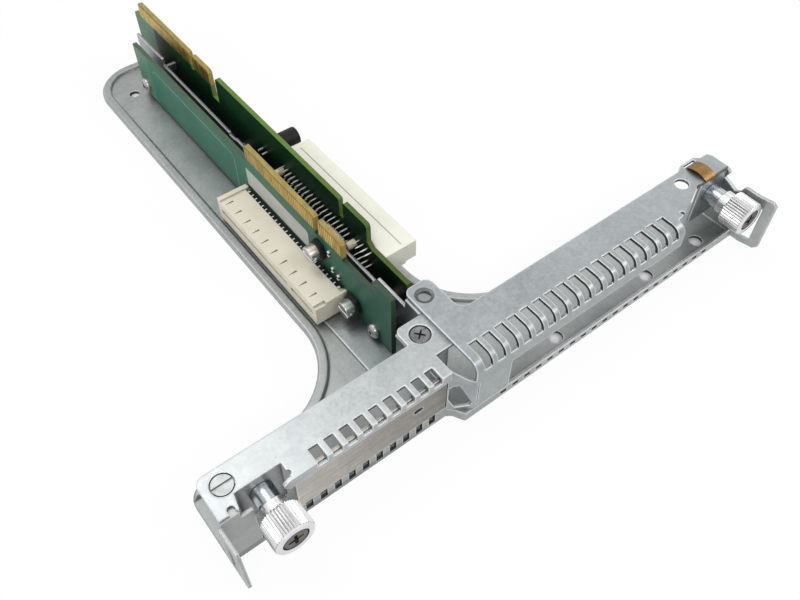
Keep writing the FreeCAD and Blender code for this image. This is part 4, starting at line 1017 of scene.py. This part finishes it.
def label():
    """Blank paper label; each corner is rounded to its own radius."""
    low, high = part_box("board_label")
    corners = []
    ends = ((low.y, low.z, 180), (high.y, low.z, 270), (high.y, high.z, 0), (low.y, high.z, 90))
    for (y, z, start), radius in zip(ends, LABEL_RADII):
        reach = radius * MM
        centre_y = y + reach if y == low.y else y - reach
        centre_z = z + reach if z == low.z else z - reach
        for step in range(CORNER_STEPS + 1):
            angle = math.radians(start + 90 * step / CORNER_STEPS)
            corners.append((centre_y + reach * math.cos(angle), centre_z + reach * math.sin(angle)))

    def build(work):
        capped_sweep(work, [[work.verts.new((x, y, z)) for y, z in corners] for x in (high.x, low.x)])

    piece = piece_from("blank_label", build, [PAPER], CAGE, smooth=20.0)
    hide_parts("board_label")


def capacitor():
    """Sleeved can with a crimp groove, a rolled rim and a scored end."""
    low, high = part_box("filter_capacitor")
    radius = (high.y - low.y) / 2
    long = high.x - low.x
    place = seat((low.x, (low.y + high.y) / 2, (low.z + high.z) / 2), (1, 0, 0), spin=20.0)

    def build(work):
        rings = [(radius * wide, long * along) for wide, along in CAN_PROFILE]
        screw_head(work, place, rings, arm=0.12 * MM, reach=0.62 * radius, depth=0.15 * MM)

    piece = piece_from("sleeved_capacitor", build, [BLACK, TIN], CAGE)
    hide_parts("filter_capacitor")


chip_parts()
board_drawing()
label()
capacitor()


# Lights: place, aim, size and power
LAMPS = {
    "overhead": ((-0.08, 0.27, 0.56), (-0.03, 0.05, 0.0), (0.30, 0.34), 1.05),
    "right_back": ((0.50, 0.25, 0.42), (0.05, 0.03, 0.0), (0.30, 0.30), 0.12),
    "front_left": ((-0.45, -0.35, 0.45), (0.0, 0.05, 0.0), (0.20, 0.20), 0.9),
    "front_right": ((0.44, -0.30, 0.44), (0.05, 0.0, 0.02), (0.30, 0.10), 0.8),
    "front_high": ((0.10, -0.36, 0.50), (-0.04, 0.0, 0.02), (0.20, 0.08), 0.4),
}


def area_light(name, spot, aim, size, power):
    data = bpy.data.lights.new(name, "AREA")
    data.shape = "RECTANGLE"
    data.size, data.size_y = size
    data.energy = power
    lamp = bpy.data.objects.new(name, data)
    lamp.location = spot
    lamp.rotation_mode = "QUATERNION"
    lamp.rotation_quaternion = (Vector(aim) - Vector(spot)).to_track_quat("-Z", "Y")
    bpy.context.scene.collection.objects.link(lamp)


for name, settings in LAMPS.items():
    area_light(name, *settings)


# Floor and background, white where they are seen
WHITE = (1.0, 1.0, 1.0, 1.0)
SKY_TINT = (0.96, 0.98, 1.0, 1.0)
SKY_STRENGTH = 0.72
FLOOR_REACH = 3.0
FLOOR_DROP = 0.2 * MM
FLOOR_GLOW = 0.94
# Middle and half size of the places under the tray's holes, where the floor shows its full shade
SHADED_PLACES = (((0.064, 0.0015), (0.044, 0.0085)), ((-0.002, 0.139), (0.014, 0.039)))


def seen_directly(tree):
    """One for the rays that show the background: straight, mirrored or through glass."""
    path = tree.nodes.new("ShaderNodeLightPath")
    total = path.outputs["Is Camera Ray"]
    for kind in ("Is Glossy Ray", "Is Transmission Ray"):
        joined = tree.nodes.new("ShaderNodeMath")
        joined.operation = "MAXIMUM"
        tree.links.new(total, joined.inputs[0])
        tree.links.new(path.outputs[kind], joined.inputs[1])
        total = joined.outputs[0]
    return total


def floor():
    """Wide floor that looks white, with the part's own shade left in the places under the tray."""
    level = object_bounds()[0].z - FLOOR_DROP
    corners = [(x * FLOOR_REACH, y * FLOOR_REACH, level) for x, y in ((-1, -1), (1, -1), (1, 1), (-1, 1))]
    mesh = bpy.data.meshes.new("floor")
    mesh.from_pydata(corners, [], [(0, 1, 2, 3)])
    plane = bpy.data.objects.new("floor", mesh)
    bpy.context.scene.collection.objects.link(plane)
    paint = Paint("pale_floor", Roughness=0.9)
    paint.into("Base Color", paint.ramp(paint.noise(40.0, 2.0, 0.5), (0.80, 0.80, 0.80), (0.84, 0.84, 0.84)))
    glow = paint.add("ShaderNodeEmission", {"Color": WHITE, "Strength": 1.0})
    share = paint.math("MULTIPLY", seen_directly(paint.tree), FLOOR_GLOW)
    spot = paint.axes(paint.place)
    for middle, half in SHADED_PLACES:
        beside = [paint.math("ABSOLUTE", paint.math("SUBTRACT", spot[axis], middle[axis])) for axis in (0, 1)]
        outside = paint.math("MAXIMUM", *[paint.math("GREATER_THAN", beside[axis], half[axis]) for axis in (0, 1)])
        share = paint.math("MULTIPLY", share, outside)
    mixed = paint.add("ShaderNodeMixShader", {0: share, 1: paint.shader.outputs[0], 2: glow.outputs[0]})
    paint.tree.links.new(mixed.outputs[0], paint.tree.nodes["Material Output"].inputs["Surface"])
    mesh.materials.append(paint.material)
    plane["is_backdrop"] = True


floor()

world = bpy.data.worlds.new("studio")
world.use_nodes = True
bpy.context.scene.world = world
tree = world.node_tree
soft = tree.nodes["Background"]
soft.inputs["Color"].default_value = SKY_TINT
soft.inputs["Strength"].default_value = SKY_STRENGTH
white = tree.nodes.new("ShaderNodeBackground")
white.inputs["Color"].default_value = WHITE
white.inputs["Strength"].default_value = 1.0
chooser = tree.nodes.new("ShaderNodeMixShader")
tree.links.new(seen_directly(tree), chooser.inputs[0])
tree.links.new(soft.outputs[0], chooser.inputs[1])
tree.links.new(white.outputs[0], chooser.inputs[2])
tree.links.new(chooser.outputs[0], tree.nodes["World Output"].inputs["Surface"])
bpy.context.scene.view_settings.view_transform = "Standard"

bpy.context.view_layer.update()
